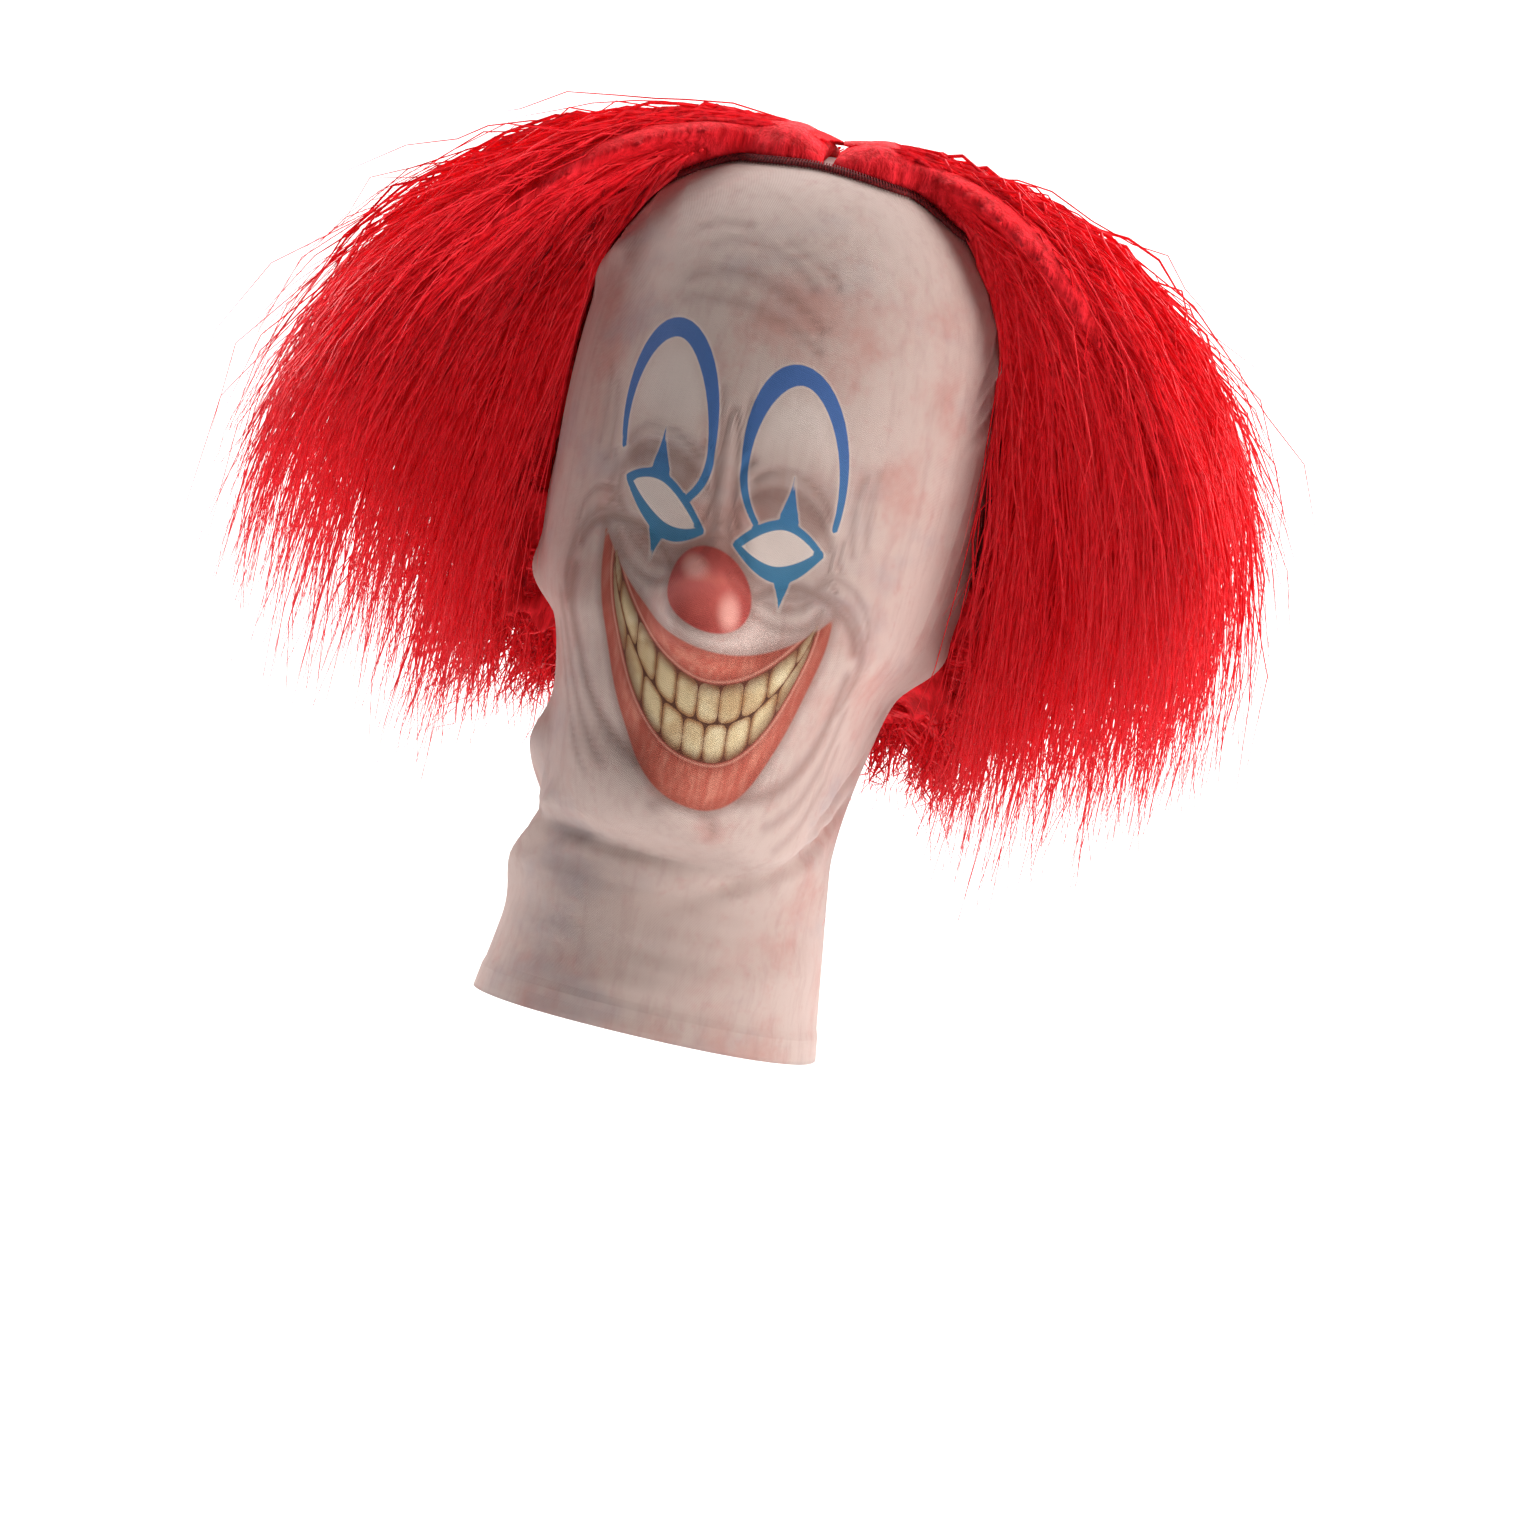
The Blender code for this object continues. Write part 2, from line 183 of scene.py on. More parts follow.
# Rows of locks on one side, from the parting down to the edge. height is the share of the
# way from the crown to the hairline, out and fall place the tips as shares of the hair's
# reach and fall, leave is how far a lock runs outwards before it drops, and breadth and
# depth are shares of the lock sizes.
# name, height, first turn, last turn, locks, out, fall, leave, breadth, depth
LOCK_ROWS = (
    ("crown", 0.44, 42, 176, 6, 1.00, 0.72, 0.40, 1.10, 1.00),
    ("temple", 0.66, 56, 180, 6, 0.87, 0.84, 0.33, 1.05, 1.00),
    ("side", 0.82, 66, 174, 5, 0.70, 0.95, 0.20, 1.00, 1.00),
    ("edge", 0.93, 76, 180, 5, 0.55, 0.93, 0.10, 0.95, 0.90),
)

# The least turns that strands grow at and hang at: heights of their roots, and degrees there
GROWN = ((0.05, 0.62, 0.86), (2, 5, 46))
SWEPT = ((0.44, 0.66, 0.82, 0.93), (48, 60, 70, 78))

# Layers of loose fibre on each side. height is the band of roots, tufts is how many tufts
# the strands gather into, thick is the strand's width at its root, and loose is how far a
# strand strays from its tuft, as a share of the hair's reach.
# name, strands, tufts, lowest height, highest height, thick, loose, shorter, longer
STRAND_LAYERS = (
    ("crown_strands", 2700, 120, 0.02, 0.70, 0.0018, 0.034, 0.46, 1.06),
    ("side_strands", 1450, 90, 0.50, 0.92, 0.0018, 0.036, 0.62, 1.05),
    ("edge_strands", 900, 60, 0.86, 0.985, 0.0016, 0.034, 0.66, 1.04),
    ("flyaway_strands", 1150, 260, 0.02, 0.97, 0.0008, 0.085, 0.55, 1.10),
)


def linear(red, green, blue):
    """The colour with these 0 to 255 screen values, as Blender's linear one."""
    out = []
    for value in (red, green, blue):
        share = value / 255
        out.append(share / 12.92 if share <= 0.04045 else ((share + 0.055) / 1.055) ** 2.4)
    return tuple(out)


def length(text, default, about):
    """A length property."""
    limits = {"min": 0.0, "unit": "LENGTH", "precision": 4}
    return bpy.props.FloatProperty(name=text, description=about, default=default, **limits)


def number(text, default, about):
    """A plain number property."""
    return bpy.props.FloatProperty(name=text, description=about, default=default)


def colour(text, default, about):
    """A colour property."""
    return bpy.props.FloatVectorProperty(
        name=text, description=about, default=default, subtype="COLOR", size=3, min=0.0, max=1.0
    )


class HoodSettings(bpy.types.PropertyGroup):
    half_width: length("Half width", 0.077, "From the middle to the side of the head")
    face_reach: length("Face reach", 0.096, "From the head's axis to the face")
    nape_reach: length("Nape reach", 0.101, "From the head's axis to the back of the head")
    crown_to_chin: length("Crown to chin", 0.251, "Height of the head")
    neck_length: length("Neck length", 0.070, "From the chin down to the hem")
    cloth: length("Cloth", HOOD_HIGH.z, "Thickness of the cloth")
    hem_width: length("Hem width", 0.010, "Height of the turned hem at the neck")
    gauge: length("Knit gauge", 0.0009, "Distance between two rows of stitches in the knit")
    columns: bpy.props.IntProperty(name="Columns", description="Faces round the hood", default=260, min=40)
    rows: bpy.props.IntProperty(
        name="Rows", description="Faces from the crown to the hem", default=180, min=40
    )


class PrintSettings(bpy.types.PropertyGroup):
    slant: number("Slant", 0.155, "How far the print is pulled down on one side")
    lean: number("Lean", 0.10, "How far the print leans towards the chin")
    cloth: colour("Cloth", linear(186, 163, 155), "White make-up colour of the cloth")
    blush: colour("Blush", linear(176, 122, 112), "Pink clouds in the cloth's print")
    veins: colour("Cool shade", linear(142, 132, 138), "Blue-grey clouds in the cloth's print")
    brow: colour("Brow", linear(34, 86, 150), "Upper part of the blue lines")
    lid: colour("Lid line", linear(26, 104, 142), "Lower part of the blue lines")
    nose: colour("Nose", linear(188, 82, 74), "Red of the nose")
    lips: colour("Lips", linear(176, 84, 68), "Red of the lips")
    teeth: colour("Teeth", linear(208, 184, 142), "Cream of the teeth")
    gaps: colour("Gaps", linear(84, 48, 30), "Brown between the teeth")
    shade: colour("Airbrush", linear(108, 70, 62), "Brown of the soft wrinkles")


class HairSettings(bpy.types.PropertyGroup):
    reach: length("Reach", 0.182, "From the middle to the hair's tips at the side")
    fall: length("Fall", 0.240, "From the crown down to the lowest tips")
    lock_width: length("Lock width", 0.056, "Breadth of a lock")
    lock_depth: length("Lock depth", 0.020, "Thickness of a lock")
    backing: length("Backing", 0.0025, "Backing cloth of the fur")
    crown_pile: length("Crown pile", 0.010, "Height of the fur over the parting")
    side_pile: length("Side pile", 0.018, "Height of the fur at the sides")
    sewn_gap: length("Sewn gap", 0.0003, "Between the hood and the backing")
    crimp: length("Crimp", 0.0019, "How far the crimped fibre waves to each side")
    # The red and the shaded red are one fibre colour, as lit and as in shade: painted light and painted
    # shade.
    lit: colour("Red", linear(255, 44, 56), "Fibre in the light")
    shaded_red: colour("Deep red", linear(240, 20, 32), "Fibre in the depth of the hair")


class StageSettings(bpy.types.PropertyGroup):
    turn: number("Turn", 6.0, "Camera's turn round the mask in degrees")
    rise: number("Rise", 2.0, "Camera's rise in degrees")
    roll: number("Roll", 13.0, "Camera's roll in degrees")
    distance: length("Distance", 1.7, "From the camera to the head's axis")
    seen: length("Width seen", 0.558, "Width of the view at the head")
    centre_x: number("Centre across", 0.0, "Aim across, in metres")
    centre_z: number("Centre up", -0.222, "Aim up, in metres")
    paper: colour("Paper", (0.93, 0.93, 0.93), "Floor and backdrop")


def settings(group):
    """One of the scene's property groups."""
    return getattr(bpy.context.scene, f"clown_mask_{group}")


# Shape of the head


def catmull_rom(a, b, c, d, t):
    """The smooth curve through b and c, with a and d beside them."""
    square = 2 * a - 5 * b + 4 * c - d
    cube = 3 * b - a - 3 * c + d
    return 0.5 * (2 * b + (c - a) * t + square * t * t + cube * t**3)


class Head:
    """The outside of the hood, as a surface of turn and level, worked out for whole arrays."""

    squareness = 2.25
    pole = 1e-3
    samples = 4000

    def __init__(self, creased=False):
        size = settings("hood")
        self.size = size
        self.rows = np.array([row[1:] for row in SECTIONS])
        depth = self.depth_of(self.rows[:, 0])
        scale = np.array([size.half_width, size.face_reach, size.nape_reach])
        self.table = np.column_stack([depth, self.rows[:, 1:] * scale])
        first = self.table[1] * np.array([1, -1, -1, -1])
        self.table = np.vstack([first, self.table, self.table[-1]])
        self.last = len(SECTIONS) - 1
        self.creased = creased
        self.fine_level = np.linspace(0, self.last, self.samples)
        self.fine_depth = self.section(self.fine_level)[:, 0]

    def depth_of(self, down):
        """Metres under the crown for places in the down column."""
        down = np.asarray(down, float)
        size = settings("hood")
        return size.crown_to_chin * np.minimum(down, 1.0) + size.neck_length * np.maximum(down - 1.0, 0.0)

    def section(self, level):
        """Depth, half width, face reach and nape reach at levels counted in rows of SECTIONS."""
        level = np.asarray(level, float)
        row = np.clip(level.astype(int), 0, self.last - 1)
        t = (level - row)[..., None]
        a, b, c, d = (self.table[row + k] for k in range(4))
        return catmull_rom(a, b, c, d, t)

    def level_at_depth(self, depth):
        """The level whose cross-section lies at a depth."""
        return np.interp(depth, self.fine_depth, self.fine_level)

    def relief(self, turn, depth, radius):
        """How far the face and the folds push the cloth out."""
        proud = np.zeros_like(radius)
        for _, degrees, down, breadth, height, rise, roundness in RELIEFS:
            for side in (-1, 1) if degrees else (1,):
                along = radius * (turn - side * math.radians(degrees)) / breadth
                across = (depth - self.depth_of(down)) / height
                proud += rise * np.exp(-(np.hypot(along, across) ** roundness))
        for _, degrees, down, tilt, reach, breadth, rise in FOLDS + (CREASES if self.creased else ()):
            x = radius * (turn - math.radians(degrees))
            z = self.depth_of(down) - depth
            lean = math.radians(tilt)
            along = (x * math.cos(lean) + z * math.sin(lean)) / reach
            across = (z * math.cos(lean) - x * math.sin(lean)) / breadth
            proud += rise * np.exp(-(along**4) - across**2)
        return proud

    def point(self, turn, level):
        """Points on the outside of the hood."""
        turn, level = np.broadcast_arrays(np.asarray(turn, float), np.asarray(level, float))
        depth, width, face, nape = np.moveaxis(self.section(np.maximum(level, self.pole)), -1, 0)
        reach = np.where(np.cos(turn) > 0, face, nape)
        power = self.squareness
        sides = np.abs(np.sin(turn) / width) ** power + np.abs(np.cos(turn) / reach) ** power
        radius = sides ** (-1 / power)
        radius = radius + self.relief(turn, depth, radius)
        radius = np.where(level <= self.pole, 0.0, radius)
        return np.stack([radius * np.sin(turn), -radius * np.cos(turn), self.size.cloth - depth], -1)

    def normal(self, turn, level):
        """The outward direction there."""
        aside, down, up = 0.01, 0.02, 0.015
        turn, level = np.broadcast_arrays(np.asarray(turn, float), np.asarray(level, float))
        level = np.maximum(level, down)
        round_it = self.point(turn + aside, level) - self.point(turn - aside, level)
        down_it = self.point(turn, np.minimum(level + down, self.last)) - self.point(turn, level - up)
        out = np.cross(down_it, round_it)
        return out / np.maximum(np.linalg.norm(out, axis=-1, keepdims=True), 1e-12)

    def hairline(self, turn):
        """The level where the fur ends at a turn."""
        degrees = np.abs(np.degrees(turn))
        table = np.array(HAIRLINE)
        row = np.clip(np.searchsorted(table[:, 0], degrees, side="right") - 1, 0, len(table) - 2)
        t = (degrees - table[row, 0]) / (table[row + 1, 0] - table[row, 0])
        down = table[row, 1] + (table[row + 1, 1] - table[row, 1]) * t * t * (3 - 2 * t)
        return self.level_at_depth(self.depth_of(down))


# Meshes and objects


def add_piece(name, mesh, material, *nodes):
    """An object that rides on the body and stands for the nodes."""
    piece = bpy.data.objects.new(name, mesh)
    bpy.context.scene.collection.objects.link(piece)
    mesh.materials.append(material)
    mesh.shade_smooth()
    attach(piece, "root")
    if nodes:
        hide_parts(*nodes)
    return piece


def mesh_from_bmesh(bm, name):
    """The bmesh as a mesh."""
    mesh = bpy.data.meshes.new(name)
    bm.to_mesh(mesh)
    bm.free()
    return mesh


def mesh_from_arrays(name, points, faces):
    """A mesh of many copies of one small shape, from its joined arrays."""
    mesh = bpy.data.meshes.new(name)
    counts = [len(face) for face in faces]
    mesh.vertices.add(len(points))
    mesh.vertices.foreach_set("co", np.asarray(points, np.float32).ravel())
    mesh.loops.add(sum(counts))
    mesh.loops.foreach_set("vertex_index", np.concatenate(faces).astype(np.int32))
    mesh.polygons.add(len(faces))
    mesh.polygons.foreach_set("loop_start", np.concatenate([[0], np.cumsum(counts)[:-1]]).astype(np.int32))
    mesh.update(calc_edges=True)
    return mesh


def add_values(mesh, name, values):
    """A number for each vertex, which the material reads."""
    attribute = mesh.attributes.new(name, "FLOAT", "POINT")
    attribute.data.foreach_set("value", np.asarray(values, np.float32).ravel())


def vertex_array(mesh):
    """The mesh's points as an array."""
    points = np.empty(len(mesh.vertices) * 3, np.float32)
    mesh.vertices.foreach_get("co", points)
    return points.reshape(-1, 3).astype(float)


# Shader maths


class Socket:
    """A node's output, on which Python's operators add Math nodes."""

    def __init__(self, graph, socket):
        self.graph = graph
        self.socket = socket

    def maths(self, operation, *others):
        """A Math node that works on this value and the others."""
        values = {0: self}
        values.update({index + 1: other for index, other in enumerate(others)})
        return self.graph.node("ShaderNodeMath", {"operation": operation}, values)

    def __add__(self, other):
        return self.maths("ADD", other)

    __radd__ = __add__

    def __mul__(self, other):
        return self.maths("MULTIPLY", other)

    __rmul__ = __mul__

    def __sub__(self, other):
        return self.maths("SUBTRACT", other)

    def __rsub__(self, other):
        return self.graph.node("ShaderNodeMath", {"operation": "SUBTRACT"}, {0: other, 1: self})

    def __truediv__(self, other):
        return self.maths("DIVIDE", other)

    def __pow__(self, other):
        return self.maths("POWER", other)

    def size(self):
        """The value without its sign."""
        return self.maths("ABSOLUTE")

    def fraction(self):
        """What is left over the whole number below."""
        return self.maths("FRACT")

    def sine(self):
        return self.maths("SINE")

    def above(self, edge):
        """1 where the value is over the edge, 0 elsewhere."""
        return self.maths("GREATER_THAN", edge)

    def between(self, low, high):
        """0 at low and 1 at high, or the other way round where high is the smaller."""
        values = {"Value": self, "From Min": low, "From Max": high}
        options = {"interpolation_type": "SMOOTHSTEP", "clamp": True}
        return self.graph.node("ShaderNodeMapRange", options, values)

    def output(self, name):
        """Another output of the same node."""
        return Socket(self.graph, self.socket.node.outputs[name])


class Graph:
    """A material's nodes, added by one method."""

    def __init__(self, name):
        self.material = bpy.data.materials.new(name)
        self.material.use_nodes = True
        self.tree = self.material.node_tree
        self.shader = self.tree.nodes["Principled BSDF"]

    def fill(self, socket, value):
        """A link from another node, or a constant."""
        if isinstance(value, Socket):
            self.tree.links.new(value.socket, socket)
        elif isinstance(value, (tuple, list)) and len(value) == 3 and socket.type == "RGBA":
            socket.default_value = (*value, 1.0)
        else:
            socket.default_value = value

    def node(self, kind, options=None, values=None, output=0):
        """A node of a kind, with its options set first and then its sockets."""
        node = self.tree.nodes.new(kind)
        for name, value in (options or {}).items():
            setattr(node, name, value)
        for name, value in (values or {}).items():
            self.fill(node.inputs[name], value)
        return Socket(self, node.outputs[output])

    def mix(self, factor, first, second, blend="MIX"):
        """Two colours mixed."""
        options = {"data_type": "RGBA", "blend_type": blend, "clamp_factor": True}
        return self.node("ShaderNodeMix", options, {0: factor, 6: first, 7: second}, output=2)

    def place(self):
        """The point on the object."""
        return self.node("ShaderNodeTexCoord").output("Object")

    def value(self, name):
        """A number stored on the mesh."""
        return self.node("ShaderNodeAttribute", {"attribute_name": name}).output("Fac")

    def noise(self, scale, detail=3.0, roughness=0.55, place=None, stretch=None):
        """Cloudy noise, on the object's own point unless another is given."""
        place = place or self.place()
        if stretch:
            place = self.node("ShaderNodeMapping", {}, {"Vector": place, "Scale": stretch})
        values = {"Vector": place, "Scale": scale, "Detail": detail, "Roughness": roughness}
        return self.node("ShaderNodeTexNoise", {}, values)

    def bump(self, height, distance, strength=1.0, under=None):
        """A bump from a height between 0 and 1."""
        values = {"Height": height, "Distance": distance, "Strength": strength}
        if under is not None:
            values["Normal"] = under
        return self.node("ShaderNodeBump", {}, values)

    def finish(self, constants=None, **links):
        """Sets the shader's sockets, by their names with _ for a space."""
        for name, value in {**(constants or {}), **links}.items():
            self.fill(self.shader.inputs[name.replace("_", " ")], value)
        return self.material


# The print on the cloth, in metres across the face and below the crown


def arc(centre_x, centre_y, half_x, half_y, first, last, count=25):
    """Points of an elliptic arc. 0 degrees is to the right, and 90 is up."""
    angles = np.radians(np.linspace(first, last, count))
    return np.column_stack([centre_x + half_x * np.cos(angles), centre_y - half_y * np.sin(angles)])


def swelling(count, thin, thick, peak=0.5):
    """Half widths along a line that swells towards its peak."""
    t = np.linspace(0, 1, count)
    rise = np.where(t < peak, t / peak, (1 - t) / (1 - peak))
    return thin + (thick - thin) * np.sin(rise * math.pi / 2) ** 1.4


def stroke_distance(x, y, line, half_width):
    """Distance from each point to a stroke of varying width, below 0 inside it."""
    best = np.full(len(x), 1.0)
    for (ax, ay), (bx, by), wa, wb in zip(line, line[1:], half_width, half_width[1:]):
        dx, dy = bx - ax, by - ay
        t = np.clip(((x - ax) * dx + (y - ay) * dy) / max(dx * dx + dy * dy, 1e-12), 0, 1)
        best = np.minimum(best, np.hypot(x - ax - t * dx, y - ay - t * dy) - (wa + t * (wb - wa)))
    return best


# Blue lines on one side of the face, mirrored to the other: x from the middle, y below the crown
# name, centre x, centre y, half x, half y, first degrees, last degrees, thin, thick, peak
BLUE_ARCS = (
    ("brow", 0.0235, 0.1160, 0.0175, 0.0350, -18, 192, 0.0011, 0.0034, 0.58),
    ("inner leg", 0.0300, 0.1190, 0.0240, 0.0240, 180, 222, 0.0012, 0.0014, 0.10),
)

# Slim ticks over and under each eye: x, y of the base, y of the tip, half width of the base
TICKS = (
    ("upper tick", 0.0235, 0.1292, 0.1150, 0.0034),
    ("lower tick", 0.0235, 0.1508, 0.1605, 0.0028),
)

# Soft airbrushed wrinkles on one side, mirrored: as BLUE_ARCS, with softness and strength at the end
# name, centre x, centre y, half x, half y, first degrees, last degrees, softness, strength
WRINKLES = (
    ("forehead 1", 0.000, 0.090, 0.040, 0.034, 50, 90, 0.0022, 0.34),
    ("forehead 2", 0.000, 0.098, 0.046, 0.032, 56, 90, 0.0020, 0.28),
    ("forehead 3", 0.000, 0.078, 0.034, 0.034, 52, 90, 0.0022, 0.24),
    ("frown", 0.009, 0.128, 0.0055, 0.013, 100, 230, 0.0018, 0.50),
    ("eye socket", 0.0215, 0.139, 0.0190, 0.0160, 20, 340, 0.0024, 0.42),
    ("eye bag", 0.0205, 0.143, 0.0170, 0.0165, 200, 345, 0.0018, 0.40),
    ("crow foot 1", 0.050, 0.139, 0.0100, 0.0100, 160, 230, 0.0014, 0.36),
    ("crow foot 2", 0.053, 0.134, 0.0100, 0.0100, 150, 215, 0.0014, 0.30),
    ("nose bridge 1", 0.000, 0.152, 0.011, 0.008, 20, 90, 0.0016, 0.42),
    ("nose bridge 2", 0.000, 0.146, 0.010, 0.007, 20, 90, 0.0016, 0.34),
    ("cheek 1", 0.034, 0.166, 0.021, 0.016, 10, 150, 0.0024, 0.55),
    ("cheek 2", 0.038, 0.172, 0.022, 0.024, -30, 60, 0.0026, 0.42),
    ("smile fold 1", 0.006, 0.178, 0.049, 0.050, -75, 6, 0.0028, 0.50),
    ("smile fold 2", 0.010, 0.180, 0.053, 0.058, -64, -4, 0.0024, 0.34),
    ("chin dimple", 0.000, 0.242, 0.012, 0.008, 20, 90, 0.0026, 0.38),
    ("forehead 4", 0.004, 0.070, 0.040, 0.030, 48, 84, 0.0018, 0.26),
    ("brow furrow 1", 0.002, 0.118, 0.0050, 0.020, 120, 200, 0.0014, 0.40),
    ("brow furrow 2", 0.014, 0.108, 0.0100, 0.026, 150, 205, 0.0014, 0.30),
    ("lid fold 1", 0.0225, 0.134, 0.0150, 0.0130, 20, 150, 0.0016, 0.46),
    ("lid fold 2", 0.0230, 0.132, 0.0165, 0.0180, 25, 140, 0.0015, 0.34),
    ("eye bag 2", 0.0215, 0.146, 0.0190, 0.0200, 205, 335, 0.0016, 0.36),
    ("temple line 1", 0.058, 0.120, 0.0120, 0.0220, 140, 215, 0.0018, 0.30),
    ("temple line 2", 0.064, 0.116, 0.0120, 0.0240, 145, 212, 0.0018, 0.24),
    ("cheek 3", 0.040, 0.160, 0.0140, 0.0110, 5, 120, 0.0018, 0.42),
    ("cheek 4", 0.043, 0.157, 0.0170, 0.0150, 0, 100, 0.0016, 0.32),
    ("smile fold 3", 0.012, 0.184, 0.0570, 0.0640, -58, -10, 0.0022, 0.26),
    ("lip crease", 0.000, 0.190, 0.0250, 0.0060, 20, 90, 0.0016, 0.30),
)


class FacePrint:
    """The drawing on the hood, worked out at the points of its mesh.

    x runs across the cloth from the middle of the face, and y runs down from the crown.
    """

    front_radius = 0.094
    middle_y = 0.160
    face_turn = 1.5
    lid_x, lid_y = 0.0235, 0.1130
    lid_half, lid_height = 0.0170, 0.0330
    eye_x, eye_y = 0.0215, 0.1405
    eye_half, eye_height = 0.0150, 0.0085
    eye_tilt = 0.26
    eye_roundness = 1.8
    thinnest = 0.0013
    lid_strokes = ((1, 0.0016), (-1, 0.0027))
    nose_y = 0.1620
    nose_radius = 0.0140
    corner_x, corner_y = 0.0440, 0.1555
    corner_drop = 0.030
    lip_top, lip_bottom = 0.0265, 0.0800
    mouth_top, mouth_bottom = 0.0335, 0.0600
    mouth_share = 0.87
    tooth_count = 4.6
    tooth_crowding = 1.12

    def __init__(self, turn, depth):
        look = settings("print")
        across = self.front_radius * turn
        self.x = across + look.lean * (self.middle_y - depth)
        self.y = depth - look.slant * across
        self.behind = np.abs(turn) > self.face_turn

    def blue(self):
        """Distance to the blue lines."""
        best = np.full(len(self.x), 1.0)
        for side in (-1, 1):
            x = side * self.x
            for _, cx, cy, hx, hy, first, last, thin, thick, peak in BLUE_ARCS:
                line = arc(cx, cy, hx, hy, first, last)
                widths = swelling(len(line), thin, thick, peak)
                best = np.minimum(best, stroke_distance(x, self.y, line, widths))
            for over, thick in self.lid_strokes:
                line = self.lid_line(over)
                widths = swelling(len(line), self.thinnest, thick)
                best = np.minimum(best, stroke_distance(x, self.y, line, widths))
            for _, tx, base, tip, half in TICKS:
                steps = np.linspace(0, 1, 7)
                line = np.column_stack([np.full(len(steps), tx), base + (tip - base) * steps])
                widths = half * (1 - steps) ** 1.5 + 0.0001
                best = np.minimum(best, stroke_distance(x, self.y, line, widths))
        return best

    def lid_line(self, over):
        """The edge of one lid: over is 1 for the upper and -1 for the lower."""
        u = np.linspace(-1, 1, 25)
        bulge = over * self.eye_height * (1 - np.abs(u) ** self.eye_roundness)
        down = self.eye_y - bulge - self.eye_tilt * self.eye_half * u
        return np.column_stack([self.eye_x + self.eye_half * u, down])

    def eye(self):
        """Distance to the white of the eyes, below 0 inside."""
        x = np.abs(self.x) - self.eye_x
        u = np.minimum(np.abs(x / self.eye_half), 2.0)
        off_middle = np.abs(self.y - self.eye_y + self.eye_tilt * x)
        return off_middle - self.eye_height * (1 - u**self.eye_roundness)

    def lid(self):
        """Distance to the powdered patch under each brow."""
        x = np.abs(self.x) - self.lid_x
        return (np.hypot(x / self.lid_half, (self.y - self.lid_y) / self.lid_height) - 1) * self.lid_half

    def nose(self):
        """Distance to the round nose."""
        return np.hypot(self.x, self.y - self.nose_y) - self.nose_radius

    def nose_light(self):
        """Distance to the two highlights on the nose, which are squeezed circles."""
        left = np.hypot((self.x + 0.0060) / 1.2, self.y - 0.1565)
        right = np.hypot((self.x - 0.0075) / 0.8, (self.y - 0.1670) / 1.6)
        return np.minimum(left, right)

    def edges(self, u, share, top, bottom):
        """The upper and lower edge of a smile, at shares u of the way to its corners."""
        away = np.minimum(np.abs(u), 1)
        start = self.corner_y + (1 - share) * self.corner_drop
        upper = start + top * (1 - away**1.9)
        lower = start + bottom * np.maximum(1 - away**2.3, 0) ** 0.80
        return upper, lower

    def smile_distance(self, share, top, bottom):
        """Signed distance to a smile's outline."""
        along = np.linspace(-1, 1, 61)
        upper, lower = self.edges(along, share, top, bottom)
        across = along * self.corner_x * share
        line = np.vstack([np.column_stack([across, upper]), np.column_stack([across, lower])[::-1]])
        away = stroke_distance(self.x, self.y, line, np.zeros(len(line)))
        u = self.x / (self.corner_x * share)
        upper, lower = self.edges(u, share, top, bottom)
        inside = (np.abs(u) < 1) & (self.y > upper) & (self.y < lower)
        return np.where(inside, -away, away)

    def lips(self):
        """Distance to the outside of the lips."""
        return self.smile_distance(1.0, self.lip_top, self.lip_bottom)

    def mouth(self):
        """Distance to the teeth, inside the lips."""
        return self.smile_distance(self.mouth_share, self.mouth_top, self.mouth_bottom)

    def tooth_places(self):
        """Across in teeth, and 0 to 1 from the upper to the lower lip."""
        u = self.x / (self.corner_x * self.mouth_share)
        upper, lower = self.edges(u, self.mouth_share, self.mouth_top, self.mouth_bottom)
        crowded = 1 - (1 - np.minimum(np.abs(u), 1)) ** self.tooth_crowding
        down = np.clip((self.y - upper) / np.maximum(lower - upper, 0.003), -0.5, 1.5)
        return np.sign(u) * crowded * self.tooth_count, down

    def wrinkles(self):
        """Strength of the airbrushed wrinkles."""
        soft = np.zeros(len(self.x))
        for side in (-1, 1):
            for _, cx, cy, hx, hy, first, last, softness, strength in WRINKLES:
                line = arc(cx, cy, hx, hy, first, last, 15)
                away = stroke_distance(side * self.x, self.y, line, np.zeros(len(line)))
                soft = np.maximum(soft, strength * np.exp(-((away / softness) ** 2)))
        return soft


# Paints of the print that its settings don't change
FIBRE_BROWN = linear(150, 112, 104)
POWDER = linear(214, 198, 190)
LIP_LIGHT = linear(218, 146, 124)
LIP_CLOUD = linear(150, 60, 44)
LIP_OUTLINE = linear(138, 58, 44)
MOUTH_OUTLINE = linear(120, 44, 34)
MOUTH_RIM = linear(214, 150, 130)
TOOTH_EDGE = linear(150, 106, 70)
TOOTH_LIGHT = linear(228, 212, 176)
TOOTH_STAIN = linear(168, 122, 78)
MOUTH_SHADE = linear(96, 44, 28)
NOSE_SHADE = linear(138, 46, 40)
NOSE_CLOUD = linear(226, 124, 104)
NOSE_LIGHT = linear(246, 186, 172)

# Half the width over which the edge of a printed shape blurs
INK_EDGE = 0.0005


